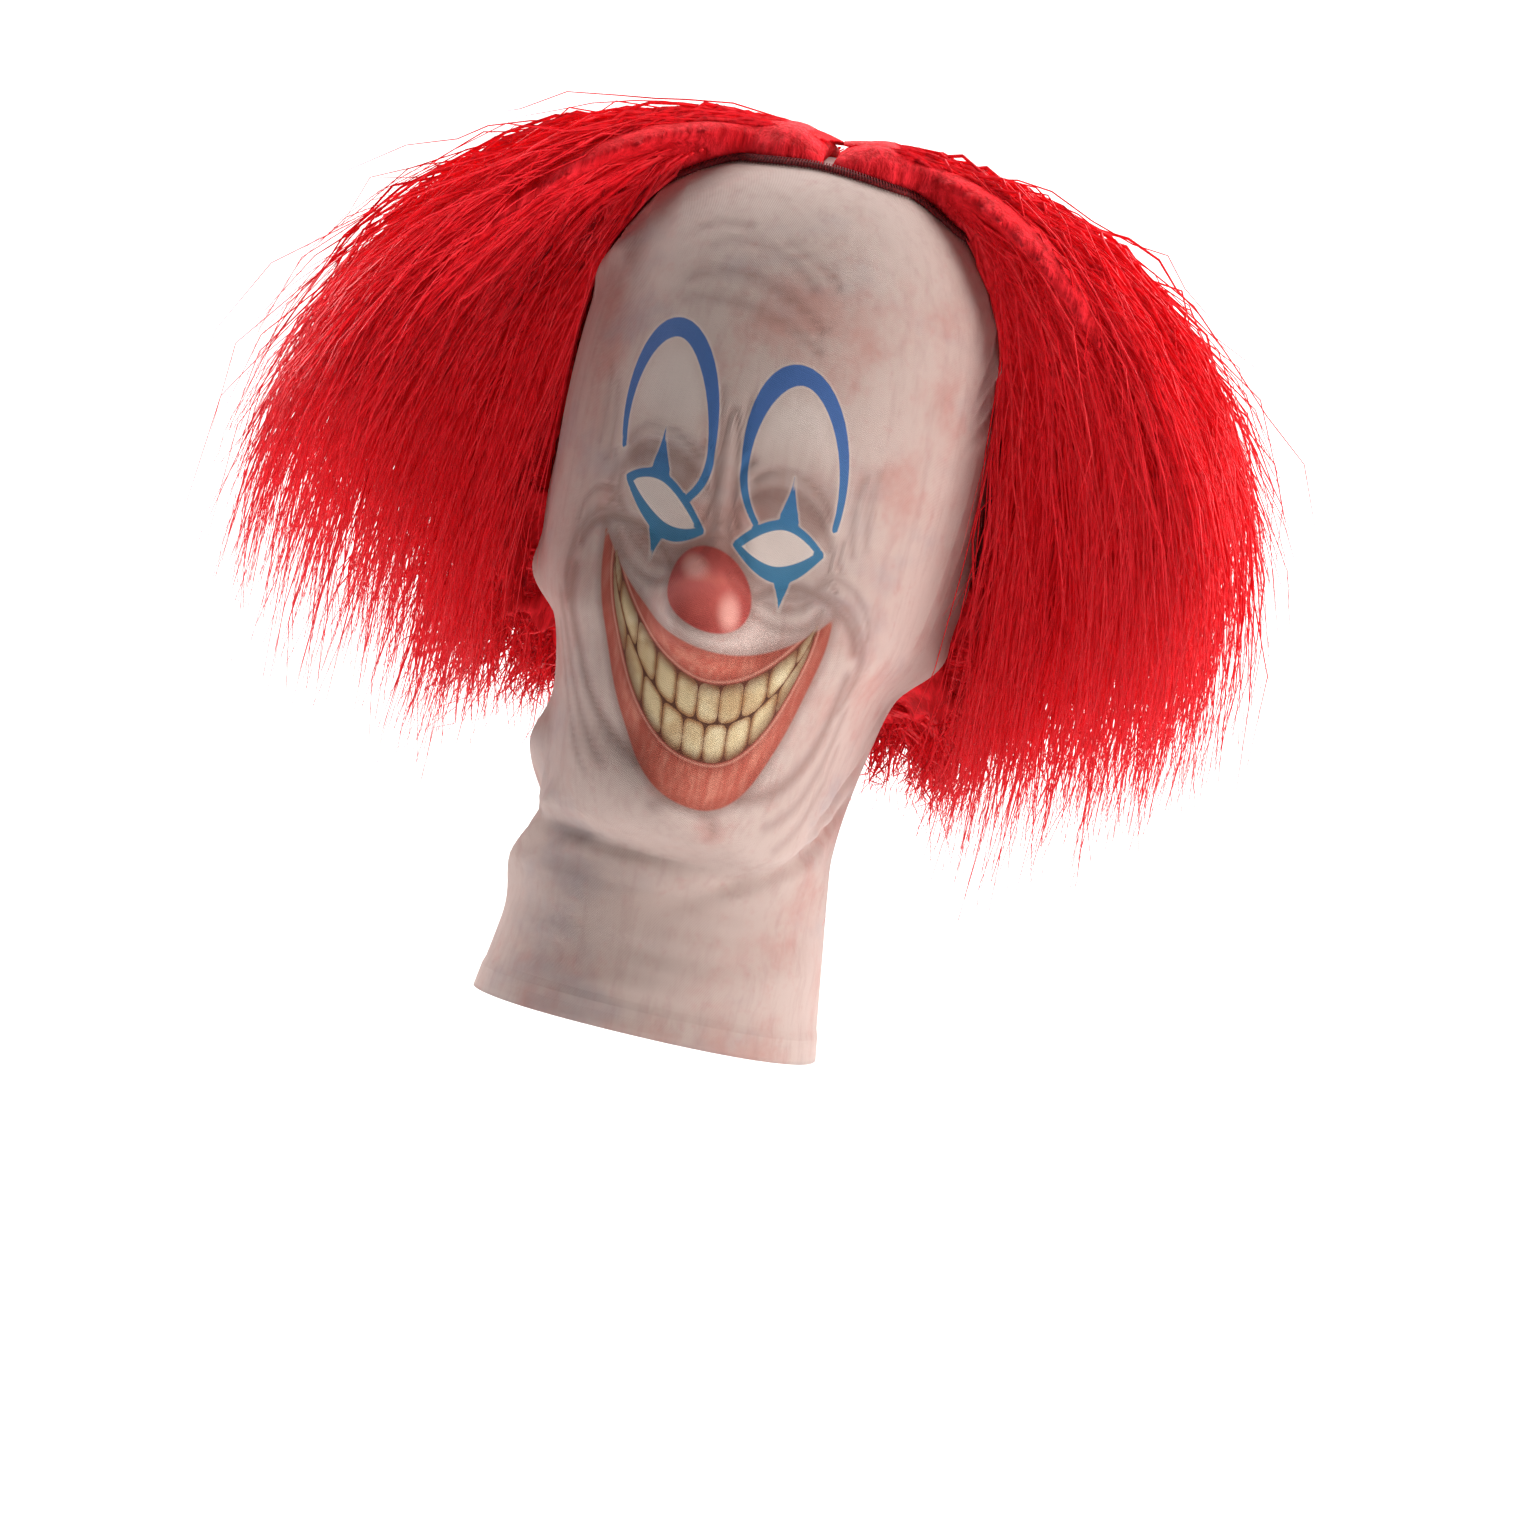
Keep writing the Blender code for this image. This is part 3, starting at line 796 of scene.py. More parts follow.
def cloth_ground(g, look):
    """The mottled make-up that the whole cloth is printed with, and its airbrushed wrinkles."""
    clouds = g.noise(26.0, 5.0, 0.62).between(0.46, 0.72)
    cool = g.noise(17.0, 4.0, 0.60, stretch=(1.0, 1.0, 1.6)).between(0.50, 0.74)
    specks = g.noise(190.0, 3.0, 0.7).between(0.52, 0.78)
    base = g.mix(clouds * 0.70, look.cloth[:], look.blush[:])
    base = g.mix(cool * 0.50, base, look.veins[:])
    base = g.mix(specks * 0.30, base, look.blush[:])
    fibres = g.noise(210.0, 4.0, 0.7, stretch=(1.0, 1.0, 0.18)).between(0.44, 0.72)
    base = g.mix(fibres * 0.26, base, FIBRE_BROWN)
    return g.mix(g.value("wrinkle").maths("MINIMUM", 1.0), base, look.shade[:])


def paint_eyes(g, look, base):
    """Powder under the brows, the white of the eyes and the blue lines."""
    depth = g.value("depth")
    line = g.value("blue")
    lid = g.value("lid")
    blue = g.mix(depth.between(0.095, 0.150), look.brow[:], look.lid[:])
    base = g.mix(lid.between(0.0, -0.007) * (1 - depth.between(0.095, 0.122)) * 0.55, base, POWDER)
    socket = lid.between(0.001, -0.004) * depth.between(0.108, 0.132)
    base = g.mix(socket * 0.55, base, look.shade[:])
    base = g.mix(g.value("eye").between(0.0006, -0.0016) * 0.75, base, POWDER)
    base = g.mix(line.between(0.0012, 0.0002) * 0.30, base, POWDER)
    return g.mix(line.between(INK_EDGE / 2, -INK_EDGE / 2) * 0.94, base, blue)


def paint_lips(g, look, base):
    """Streaked red lips, darker at both of their outlines."""
    lips = g.value("lips")
    mouth = g.value("mouth")
    streaks = g.noise(330.0, 3.0, 0.6, stretch=(1.0, 1.0, 0.22)).between(0.35, 0.75)
    red = g.mix(streaks * 0.50, look.lips[:], LIP_LIGHT)
    red = g.mix(g.noise(60.0, 3.0).between(0.5, 0.75) * 0.45, red, LIP_CLOUD)
    red = g.mix(lips.between(-0.0050, 0.0) * 0.65, red, LIP_OUTLINE)
    red = g.mix(mouth.between(0.0045, 0.0) * 0.60, red, MOUTH_OUTLINE)
    rim = mouth.between(0.0016, 0.0006) * mouth.between(0.0, 0.0010)
    red = g.mix(rim * 0.6, red, MOUTH_RIM)
    base = g.mix(lips.between(0.0042, 0.0) * 0.45, base, look.shade[:])
    return g.mix(lips.between(INK_EDGE, -INK_EDGE), base, red)


def paint_teeth(g, look, base):
    """Two rows of rounded teeth, with brown between them."""
    mouth = g.value("mouth")
    down = g.value("tooth_down")
    lower_row = down.above(0.50)
    place = (g.value("tooth_across") + lower_row * 0.5).fraction() - 0.5
    middle = (down - lower_row * 0.5) * 2.0 - 0.5
    ragged = g.noise(150.0, 2.0) * 0.10
    edge = (place * 2.0).size() ** 3.5 + (middle * 2.0).size() ** 4.5 + ragged
    enamel = g.mix(edge.between(0.02, 0.80), look.teeth[:], TOOTH_EDGE)
    enamel = g.mix(g.noise(120.0, 3.0).between(0.45, 0.72) * 0.5, enamel, TOOTH_LIGHT)
    enamel = g.mix(g.noise(55.0, 3.0).between(0.46, 0.66) * 0.5, enamel, TOOTH_STAIN)
    enamel = g.mix(edge.between(0.86, 1.05), enamel, look.gaps[:])
    enamel = g.mix(mouth.between(-0.0050, 0.0) * 0.7, enamel, MOUTH_SHADE)
    return g.mix(mouth.between(0.0004, -0.0004), base, enamel)


def paint_nose(g, look, base):
    """The round red nose, with its shade and highlights."""
    nose = g.value("nose")
    ball = g.mix(nose.between(-0.0090, 0.0005) * 0.75, look.nose[:], NOSE_SHADE)
    ball = g.mix(g.noise(90.0, 4.0).between(0.45, 0.75) * 0.25, ball, NOSE_CLOUD)
    ball = g.mix(g.value("nose_light").between(0.0058, 0.0010) * 0.55, ball, NOSE_LIGHT)
    base = g.mix(nose.between(0.0040, 0.0) * 0.40, base, look.shade[:])
    return g.mix(nose.between(INK_EDGE, -INK_EDGE), base, ball)


def cloth_material():
    """Matt stretch knit with the printed face."""
    look = settings("print")
    size = settings("hood")
    g = Graph("printed_stretch_knit")
    base = cloth_ground(g, look)
    for paint in (paint_eyes, paint_lips, paint_teeth, paint_nose):
        base = paint(g, look, base)

    wales = (g.value("across") * (math.tau / size.gauge)).sine()
    courses = (g.value("depth") * (math.tau / (0.8 * size.gauge))).sine()
    knit = (wales * courses + 1.0) * 0.5
    # Lighter where the knit's loops stand up, by the same height as the knit bump: painted light on the
    # knit.
    base = g.mix(knit * 0.16, base, (1.0, 1.0, 1.0), "SOFT_LIGHT")
    normal = g.bump(knit, 0.00022, 0.6)
    normal = g.bump(g.noise(70.0, 3.0), 0.0011, 0.5, normal)
    normal = g.bump(1.0 - g.value("wrinkle"), 0.0016, 0.8, normal)
    normal = g.bump(g.value("stitch"), 0.0006, 0.9, normal)
    constants = {"Sheen Weight": 0.10, "Sheen Roughness": 0.5, "Specular IOR Level": 0.25}
    return g.finish(constants, Base_Color=base, Roughness=0.66 + knit * 0.12, Normal=normal)


def hood_places(head, grid):
    """The turn and level of each point of a flat grid, crowded towards the middle of the face."""
    front_crowding, face_crowding = 0.60, 0.50
    crown_share, crown_levels = 0.10, 2.0
    even = grid[:, 0] * math.tau
    turn = even - front_crowding * np.sin(even)
    down = 0.5 - grid[:, 1]
    down = np.where(down < 1e-6, 0.0, down)
    below = np.clip((down - crown_share) / (1 - crown_share), 0, 1)
    below = below + face_crowding * np.sin(math.tau * below) / math.tau
    crown_depth = head.section(crown_levels)[0]
    on_crown = crown_levels * np.clip(down / crown_share, 0, 1)
    on_face = head.level_at_depth(crown_depth + (head.depth_of(2.0) - crown_depth) * below)
    return turn, np.where(down <= crown_share, on_crown, on_face)


def add_print(mesh, turn, depth, hem):
    """The distances that the cloth's material draws the print, the knit and the hem stitch by."""
    drawing = FacePrint(turn, depth)
    across, in_mouth = drawing.tooth_places()
    shapes = {
        "blue": drawing.blue(),
        "eye": drawing.eye(),
        "lid": drawing.lid(),
        "nose": drawing.nose(),
        "nose_light": drawing.nose_light(),
        "lips": drawing.lips(),
        "mouth": drawing.mouth(),
    }
    far_off = 1.0
    for name, away in shapes.items():
        add_values(mesh, name, np.where(drawing.behind, far_off, away))
    knit_radius, stitch_width, over_hem = 0.085, 0.0007, 0.0012
    add_values(mesh, "tooth_across", across)
    add_values(mesh, "tooth_down", in_mouth)
    add_values(mesh, "wrinkle", drawing.wrinkles())
    add_values(mesh, "depth", depth)
    add_values(mesh, "across", knit_radius * turn)
    add_values(mesh, "stitch", np.exp(-(((depth - hem - over_hem) / stitch_width) ** 2)))


def make_hood():
    """The hood in fine cloth, from a flat grid wrapped round the head."""
    size = settings("hood")
    head = Head(creased=True)
    bm = bmesh.new()
    bmesh.ops.create_grid(bm, x_segments=size.columns, y_segments=size.rows, size=0.5)
    mesh = mesh_from_bmesh(bm, "hood_grid")
    turn, level = hood_places(head, vertex_array(mesh))
    points = head.point(turn, level)
    depth = size.cloth - points[:, 2]

    hem = float(head.depth_of(2.0)) - size.hem_width
    hem_step, hem_proud = 0.0012, 0.0005
    in_hem = np.clip((depth - hem) / hem_step, 0, 1)
    outward = np.column_stack([np.sin(turn), -np.cos(turn), np.zeros(len(turn))])
    points = points + hem_proud * in_hem[:, None] * outward
    mesh.vertices.foreach_set("co", points.astype(np.float32).ravel())
    add_print(mesh, turn, depth, hem)

    bm = bmesh.new()
    bm.from_mesh(mesh)
    bmesh.ops.remove_doubles(bm, verts=bm.verts, dist=1e-5)
    bmesh.ops.recalc_face_normals(bm, faces=bm.faces)
    bpy.data.meshes.remove(mesh)
    hood = add_piece("hood_cloth", mesh_from_bmesh(bm, "hood_cloth"), cloth_material(), "hood")
    wall = hood.modifiers.new("cloth wall", "SOLIDIFY")
    wall.thickness = size.cloth
    wall.offset = -1.0
    return hood


# Hair


def strand_material(name, highlight_share):
    """Glossy crimped synthetic fibre, with painted light and shade in its colour. The fibre also gives off
    a weak light of its own colour: painted light, standing for the light that passes through it.
    """
    look = settings("hair")
    g = Graph(name)
    tone = g.value("tone")
    along = g.value("along")
    # Each strand is a random mix of the lit red and the shaded red: painted light and shade, varied at
    # random per strand.
    fibre = g.mix(tone.between(0.05, 0.85), look.shaded_red[:], look.lit[:])
    # Paler pink on the strands of highest tone, scaled by the function's second argument: a painted
    # highlight of the glossy fibre.
    fibre = g.mix(tone.between(0.80, 1.0) * 0.25 * highlight_share, fibre, linear(246, 72, 70))
    # Darker near the roots: painted shade where the fibres lie under the rest of the hair.
    fibre = g.mix(along.between(0.10, 0.0) * 0.55, fibre, look.shaded_red[:])
    # Darker red bands along each strand, spaced like its crimp: painted shade in the crimp's waves. The
    # same wave also varies the roughness.
    crimp = (along * 150.0 + tone * 3.0).sine()
    fibre = g.mix(crimp.between(-0.2, 1.0) * 0.28, fibre, linear(170, 6, 16))
    normal = g.bump(g.noise(900.0, 2.0), 0.0002, 0.5)
    # Emission in the fibre's own colour: the strands light themselves, which is painted light.
    constants = {"Specular IOR Level": 0.25, "Emission Strength": 0.07}
    links = {"Base_Color": fibre, "Emission_Color": fibre, "Normal": normal}
    return g.finish(constants, Roughness=0.40 + crimp * 0.05, **links)


def fur_mass_material():
    """The fur under the loose strands, in darker reds than the strands: partly painted shade inside the
    hair.
    """
    look = settings("hair")
    g = Graph("deep_fur")
    fibres = g.noise(260.0, 4.0, 0.65, stretch=(1.0, 1.0, 0.07))
    tufts = g.noise(38.0, 3.0, 0.6, stretch=(1.0, 1.0, 0.35))
    # Fibre streaks between a darker red and the lit red, and tufts of the shaded red: painted light and
    # shade, spread at random by noise.
    base = g.mix(fibres.between(0.34, 0.70), linear(186, 8, 18), look.lit[:])
    base = g.mix(tufts.between(0.42, 0.66) * 0.6, base, look.shaded_red[:])
    normal = g.bump(fibres, 0.0020, 0.9)
    constants = {"Specular IOR Level": 0.12}
    return g.finish(constants, Base_Color=base, Roughness=0.65 + fibres * 0.1, Normal=normal)


def hand_of(side):
    """The wearer's hand on a side: 1 is left and -1 is right."""
    return "left" if side > 0 else "right"


def pile_height(points, share):
    """Height of the fur over its backing: low at the parting and at the sewn edge."""
    hair = settings("hair")
    half_width = settings("hood").half_width
    across = np.abs(points[..., 0])
    beside = np.minimum(across / PARTING_SLOPE, 1.0)
    from_edge = np.minimum((1.0 - share) / EDGE_SLOPE * half_width, 1.0)
    grown = (hair.side_pile - hair.crown_pile) * np.minimum(across / half_width, 1.0)
    pile = hair.crown_pile + grown
    return pile * np.sin(math.pi / 2 * beside) * np.sin(math.pi / 2 * from_edge)


def lock_paths(head, turn, height, out, fall, leave, on_pile=0.0, swept=0.0, lift_off=LIFT_OFF):
    """The four points of each lock's curve, as arrays: root, two handles and tip.

    on_pile raises the root by that share of the fur's height, a root in front of the swept
    turn has its tip at that turn, and lift_off is how steeply the lock rises as it leaves.
    """
    hair = settings("hair")
    turn, height = np.broadcast_arrays(np.asarray(turn, float), np.asarray(height, float))
    level = head.hairline(turn) * height
    root = head.point(turn, level)
    lift = hair.sewn_gap + hair.backing + ROOT_HEIGHT + on_pile * pile_height(root, height)
    root = root + np.asarray(lift)[..., None] * head.normal(turn, level)
    turn = np.sign(turn) * np.maximum(np.abs(turn), swept)
    forward = np.cos(turn) > 0
    spread = np.where(forward, FORWARD_SPREAD, BACKWARD_SPREAD)
    flare = np.where(forward, FORWARD_FLARE, BACKWARD_FLARE)
    tip_x = np.sign(turn) * np.abs(np.sin(turn)) ** flare * out * hair.reach
    tip_y = -np.cos(turn) * spread * out * hair.reach
    tip = np.stack([tip_x, tip_y, settings("hood").cloth - fall * hair.fall], -1)
    away = tip - root
    away[..., 2] = 0
    away = away / np.maximum(np.linalg.norm(away, axis=-1, keepdims=True), 1e-9)
    up = np.array([0.0, 0.0, 1.0])
    leaving = root + (np.asarray(leave) * hair.reach)[..., None] * (away + lift_off * up)
    hanging = tip + (HANG * (root[..., 2] - tip[..., 2]))[..., None] * up
    return root, leaving, hanging, tip


def bezier(path, t):
    """Points of the curves at t, with t along a new axis."""
    a, b, c, d = (part[..., None, :] for part in path)
    t = np.asarray(t)[..., None]
    s = 1 - t
    return s**3 * a + 3 * s * s * t * b + 3 * s * t * t * c + t**3 * d


def bezier_each(path, t):
    """Points of the curves, each at its own row of t."""
    a, b, c, d = (part[:, None, :] for part in path)
    t = t[..., None]
    s = 1 - t
    return s**3 * a + 3 * s * s * t * b + 3 * s * t * t * c + t**3 * d


def row_values(height):
    """out, fall and leave at any height, between the rows of LOCK_ROWS."""
    heights = [row[1] for row in LOCK_ROWS]
    return [np.interp(height, heights, [row[column] for row in LOCK_ROWS]) for column in (5, 6, 7)]


def fur_dome(side, head):
    """The pile of one panel as a thick shell over the head, low enough to stay under the strands."""
    columns, rows = 40, 24
    pile_share, parting_gap, shell_thickness = 0.70, 0.0002, 0.008
    hair = settings("hair")
    bm = bmesh.new()
    bmesh.ops.create_grid(bm, x_segments=columns, y_segments=rows, size=0.5)
    mesh = mesh_from_bmesh(bm, "fur_grid")
    grid = vertex_array(mesh)
    turn = side * (grid[:, 0] + 0.5) * math.pi
    share = 0.5 - grid[:, 1]
    level = head.hairline(turn) * share
    foot = head.point(turn, level)
    lift = hair.sewn_gap + hair.backing + pile_share * pile_height(foot, share)
    top = foot + lift[:, None] * head.normal(turn, level)
    top[:, 0] = side * np.maximum(side * top[:, 0], parting_gap)
    mesh.vertices.foreach_set("co", top.astype(np.float32).ravel())
    bm = bmesh.new()
    bm.from_mesh(mesh)
    bpy.data.meshes.remove(mesh)
    bmesh.ops.remove_doubles(bm, verts=bm.verts, dist=1e-5)
    bmesh.ops.recalc_face_normals(bm, faces=bm.faces)
    middle = Vector((side * 0.05, 0, -0.05))
    facing = sum(face.normal.dot(face.calc_center_median() - middle) for face in bm.faces)
    if facing < 0:
        bmesh.ops.reverse_faces(bm, faces=bm.faces)
    bmesh.ops.solidify(bm, geom=bm.faces[:], thickness=shell_thickness)
    return bm


def make_fur_mass(side, head):
    """The solid fur under the strands of one panel: dome and locks melted together."""
    shorter, varied, narrower, thinner, lower = 0.87, 0.05, 0.90, 0.55, -0.08
    hair = settings("hair")
    bm = fur_dome(side, head)
    chance = random.Random(5 + side)
    for _, height, first, last, count, out, fall, leave, breadth, depth in LOCK_ROWS:
        width = narrower * hair.lock_width * breadth
        thickness = thinner * hair.lock_depth * depth
        for number in range(count):
            turn = side * math.radians(first + (last - first) * (number + 0.5) / count)
            longer = shorter + varied * chance.uniform(-1, 1)
            path = lock_paths(head, turn, height, out * longer, fall * longer, leave, lift_off=lower)
            add_lock(bm, path, turn, width, thickness)
    name = f"fur_mass_{hand_of(side)}"
    node = f"fur_panel_{hand_of(side)}"
    piece = add_piece(name, mesh_from_bmesh(bm, name), fur_mass_material(), node)
    melt = piece.modifiers.new("melt together", "REMESH")
    melt.mode = "VOXEL"
    melt.voxel_size = 0.0034
    melt.use_smooth_shade = True
    soften = piece.modifiers.new("soften", "SMOOTH")
    soften.iterations = 2
    soften.factor = 0.4
    return piece


def add_lock(bm, path, turn, breadth, depth):
    """A flattened lock with pointed tip, from a cone bent along its path."""
    root_width, tip_width, widest, step = 0.72, 0.02, 0.66, 0.02
    lock = bmesh.new()
    bmesh.ops.create_cone(lock, segments=8, radius1=0.5, radius2=tip_width, depth=1.0, cap_ends=True)
    sides = [edge for edge in lock.edges if abs(edge.verts[0].co.z - edge.verts[1].co.z) > 0.5]
    bmesh.ops.subdivide_edges(lock, edges=sides, cuts=9)
    across_head = Vector((math.cos(turn), math.sin(turn), 0))
    for vert in lock.verts:
        t = vert.co.z + 0.5
        around = math.atan2(vert.co.y, vert.co.x)
        near = bezier(path, np.array([max(t - step, 0.0), t, min(t + step, 1.0)]))
        centre = Vector(near[1])
        direction = Vector(near[2] - near[0]).normalized()
        flat = (across_head - across_head.dot(direction) * direction).normalized()
        thick = direction.cross(flat)
        swell = root_width + (1 - root_width) * math.sin(math.pi * min(t / widest, 1.0))
        taper = 0.5 * (swell * (1 - t**TIP_SHARPNESS) + tip_width)
        corner = breadth * math.cos(around) * flat + depth * math.sin(around) * thick
        vert.co = centre + taper * corner
    mesh = mesh_from_bmesh(lock, "lock")
    bm.from_mesh(mesh)
    bpy.data.meshes.remove(mesh)


def strand_shape(rings):
    """A unit strand: ring, corner direction and faces of a closed three-sided tube."""
    bm = bmesh.new()
    bmesh.ops.create_cone(bm, segments=3, radius1=1.0, radius2=1.0, depth=1.0, cap_ends=True)
    sides = [edge for edge in bm.edges if abs(edge.verts[0].co.z - edge.verts[1].co.z) > 0.5]
    bmesh.ops.subdivide_edges(bm, edges=sides, cuts=rings - 2)
    bmesh.ops.recalc_face_normals(bm, faces=bm.faces)
    bm.verts.index_update()
    ring = np.array([round((v.co.z + 0.5) * (rings - 1)) for v in bm.verts])
    corner = np.array([(v.co.x, v.co.y) for v in bm.verts])
    faces = [[v.index for v in face.verts] for face in bm.faces]
    bm.free()
    return ring, corner, faces


def strand_lines(head, side, layer, chance, t):
    """Centre lines of one side's strands in a layer, gathered into tufts."""
    _, count, tufts, low, high, _, loose, shorter, longer = layer
    more_below, height_weight = 0.75, 2.2
    on_pile, lift_off, gathered, gathering = 0.3, 0.02, 0.72, 1.3
    hair = settings("hair")

    def scatter(number):
        """Where strands grow: more of them low down, and low ones not at the brow."""
        height = low + (high - low) * chance.random(number) ** more_below
        start = np.interp(height, GROWN[0], np.radians(GROWN[1]))
        turn = side * (start + (math.pi - start) * chance.random(number))
        return turn, height

    def paths(turn, height, widen, lengthen):
        """The strands' curves, at any lengths over and under their rows."""
        out, fall, leave = row_values(height)
        swept = np.radians(np.interp(height, *SWEPT))
        reach = (out * widen, fall * lengthen, leave * widen)
        return lock_paths(head, turn, height, *reach, on_pile, swept, lift_off)

    tuft_turn, tuft_height = scatter(tufts)
    tuft_longer = chance.uniform(shorter, longer, tufts)
    tuft_out = chance.uniform(0.93, 1.05, tufts)
    tuft_path = paths(tuft_turn, tuft_height, tuft_out, 1.0)

    turn, height = scatter(count)
    aside = turn[:, None] - tuft_turn[None]
    below = height_weight * (height[:, None] - tuft_height[None])
    gap = (aside**2 + below**2) * chance.uniform(0.6, 1.4, aside.shape)
    own = np.argmin(gap, axis=1)
    stretch = tuft_longer[own] * chance.uniform(0.90, 1.06, count)
    widen = tuft_out[own] * chance.uniform(0.97, 1.03, count)
    path = paths(turn, height, widen, chance.uniform(0.98, 1.04, count))
    alone = bezier_each(path, stretch[:, None] * t)
    together = bezier_each(tuple(part[own] for part in tuft_path), stretch[:, None] * t)
    gather = (gathered * t**gathering)[None, :, None]
    lines = alone * (1 - gather) + together * gather
    stray = chance.normal(0, 1, (count, 1, 3)) * loose * hair.reach * (t**1.5)[None, :, None]
    return lines + stray * np.array([1.0, 1.0, 0.7])


def wander_lines(lines, t, chance):
    """Two slow bends in each strand, of its own size and place."""
    count = len(lines)
    bend_size, bend_turns = 0.0022, np.array([2.2, 4.6])
    wander = chance.normal(0, 1, (count, 2, 3))
    phase = chance.random((count, 2, 1)) * math.tau
    bends = np.sin(phase + bend_turns[None, :, None] * math.pi * t[None, None, :])
    shift = np.einsum("sbc,sbt->stc", wander, bends)
    return lines + bend_size * shift * (t**0.7)[None, :, None]


def crimp_lines(lines, t, chance, amount):
    """The fine wave of the crimped fibre."""
    count = len(lines)
    shortest, longest, kinked = 0.030, 0.046, 0.8
    travelled = np.linalg.norm(np.diff(lines, axis=1), axis=-1).cumsum(1)
    travelled = np.concatenate([np.zeros((count, 1)), travelled], 1)
    wavelength = chance.uniform(shortest, longest, (count, 1))
    wave = np.sin(travelled * (math.tau / wavelength) + chance.random((count, 1)) * math.tau)
    direction = chance.normal(0, 1, (count, 1, 3))
    direction /= np.linalg.norm(direction, axis=-1, keepdims=True)
    kinks = chance.normal(0, kinked * amount, lines.shape)
    return lines + (amount * wave[..., None] * direction + kinks) * np.minimum(1, 3 * t)[None, :, None]


def keep_inside(lines, head):
    """Keeps strands off the hood, and close to the box of the solids."""
    room = np.array([0.013, 0.013, 0.014])
    crown_depth, off_cloth = 0.004, 0.0022
    lines = np.clip(lines, np.array(CAD_BOX[0]) - room, np.array(CAD_BOX[1]) + room)
    depth = settings("hood").cloth - lines[..., 2]
    turn = np.arctan2(lines[..., 0], -lines[..., 1])
    level = head.level_at_depth(np.clip(depth, crown_depth, None))
    skin = head.point(turn, level)
    skin_radius = np.hypot(skin[..., 0], skin[..., 1]) + off_cloth
    radius = np.hypot(lines[..., 0], lines[..., 1])
    inside = (depth > crown_depth) & (radius < skin_radius)
    push = np.where(inside, skin_radius / np.maximum(radius, 1e-6), 1.0)
    lines[..., :2] *= push[..., None]
    return lines


def strand_mesh(name, lines, t, thick, tones):
    """Closed thin tubes along all the lines, as one mesh."""
    count, rings, _ = lines.shape
    ring, corner, faces = strand_shape(rings)
    direction = np.gradient(lines, axis=1)
    direction /= np.maximum(np.linalg.norm(direction, axis=-1, keepdims=True), 1e-9)
    helper = np.where(np.abs(direction[..., 2:]) > 0.9, np.array([1.0, 0, 0]), np.array([0, 0, 1.0]))
    side = np.cross(direction, helper)
    side /= np.maximum(np.linalg.norm(side, axis=-1, keepdims=True), 1e-9)
    other = np.cross(direction, side)
    finest, taper, root_share = 0.10, 2.5, 0.7
    radius = thick / 2 * np.clip(1.0 - t**taper, finest, 1.0)
    radius[0] *= root_share
    points = (
        lines[:, ring]
        + (radius[ring] * corner[:, 0])[None, :, None] * side[:, ring]
        + (radius[ring] * corner[:, 1])[None, :, None] * other[:, ring]
    )
    each = len(ring)
    shifts = np.arange(count) * each
    joined = [row for face in faces for row in np.asarray(face)[None] + shifts[:, None]]
    mesh = mesh_from_arrays(name, points.reshape(-1, 3), joined)
    add_values(mesh, "tone", np.repeat(tones, each))
    add_values(mesh, "along", np.tile(t[ring], count))
    return mesh


def make_strands(layer, side, head, material, seed):
    """One side's strands of a layer."""
    rings = 10
    t = np.linspace(0, 1, rings)
    chance = np.random.default_rng(seed)
    lines = strand_lines(head, side, layer, chance, t)
    lines = wander_lines(lines, t, chance)
    lines = crimp_lines(lines, t, chance, settings("hair").crimp)
    lines = keep_inside(lines, head)
    tones = np.clip(chance.normal(0.62, 0.24, len(lines)), 0, 1)
    hand = hand_of(side)
    name = f"{layer[0]}_{hand}"
    piece = add_piece(name, strand_mesh(name, lines, t, layer[5], tones), material)
    return piece


# Seam


def thread_material():
    """Dark red sewing thread."""
    g = Graph("sewing_thread")
    twist = g.noise(1400.0, 2.0)
    base = g.mix(twist.between(0.4, 0.7), linear(84, 10, 16), linear(150, 30, 34))
    return g.finish({"Specular IOR Level": 0.3}, Base_Color=base, Roughness=0.6 + twist * 0.1)


def make_edging(head):
    """A round edging along the whole hairline, over the raw edge of the fur."""
    places, edging_radius, lift = 520, 0.0011, 0.0010
    turns = np.linspace(-math.pi, math.pi, places, endpoint=False)
    level = head.hairline(turns)
    out = head.normal(turns, level)
    edge = head.point(turns, level) + lift * out
    bm = bmesh.new()
    ring = bmesh.ops.create_circle(bm, segments=6, radius=edging_radius)["verts"]
    profile = [(v.co.x, v.co.y) for v in ring]
    along = np.roll(edge, -1, 0) - np.roll(edge, 1, 0)
    along /= np.linalg.norm(along, axis=1, keepdims=True)
    across = np.cross(along, out)
    loops = []
    for index in range(len(turns)):
        verts = ring if index == 0 else [bm.verts.new((0, 0, 0)) for _ in profile]
        for vert, (x, y) in zip(verts, profile):
            vert.co = Vector(edge[index] + x * across[index] + y * out[index])
        loops.append(verts)
    for index, verts in enumerate(loops):
        beyond = loops[(index + 1) % len(loops)]
        for number in range(len(profile)):
            other = (number + 1) % len(profile)
            bm.faces.new((verts[number], verts[other], beyond[other], beyond[number]))
    bmesh.ops.recalc_face_normals(bm, faces=bm.faces)
    edging = add_piece("hairline_edging", mesh_from_bmesh(bm, "hairline_edging"), thread_material())


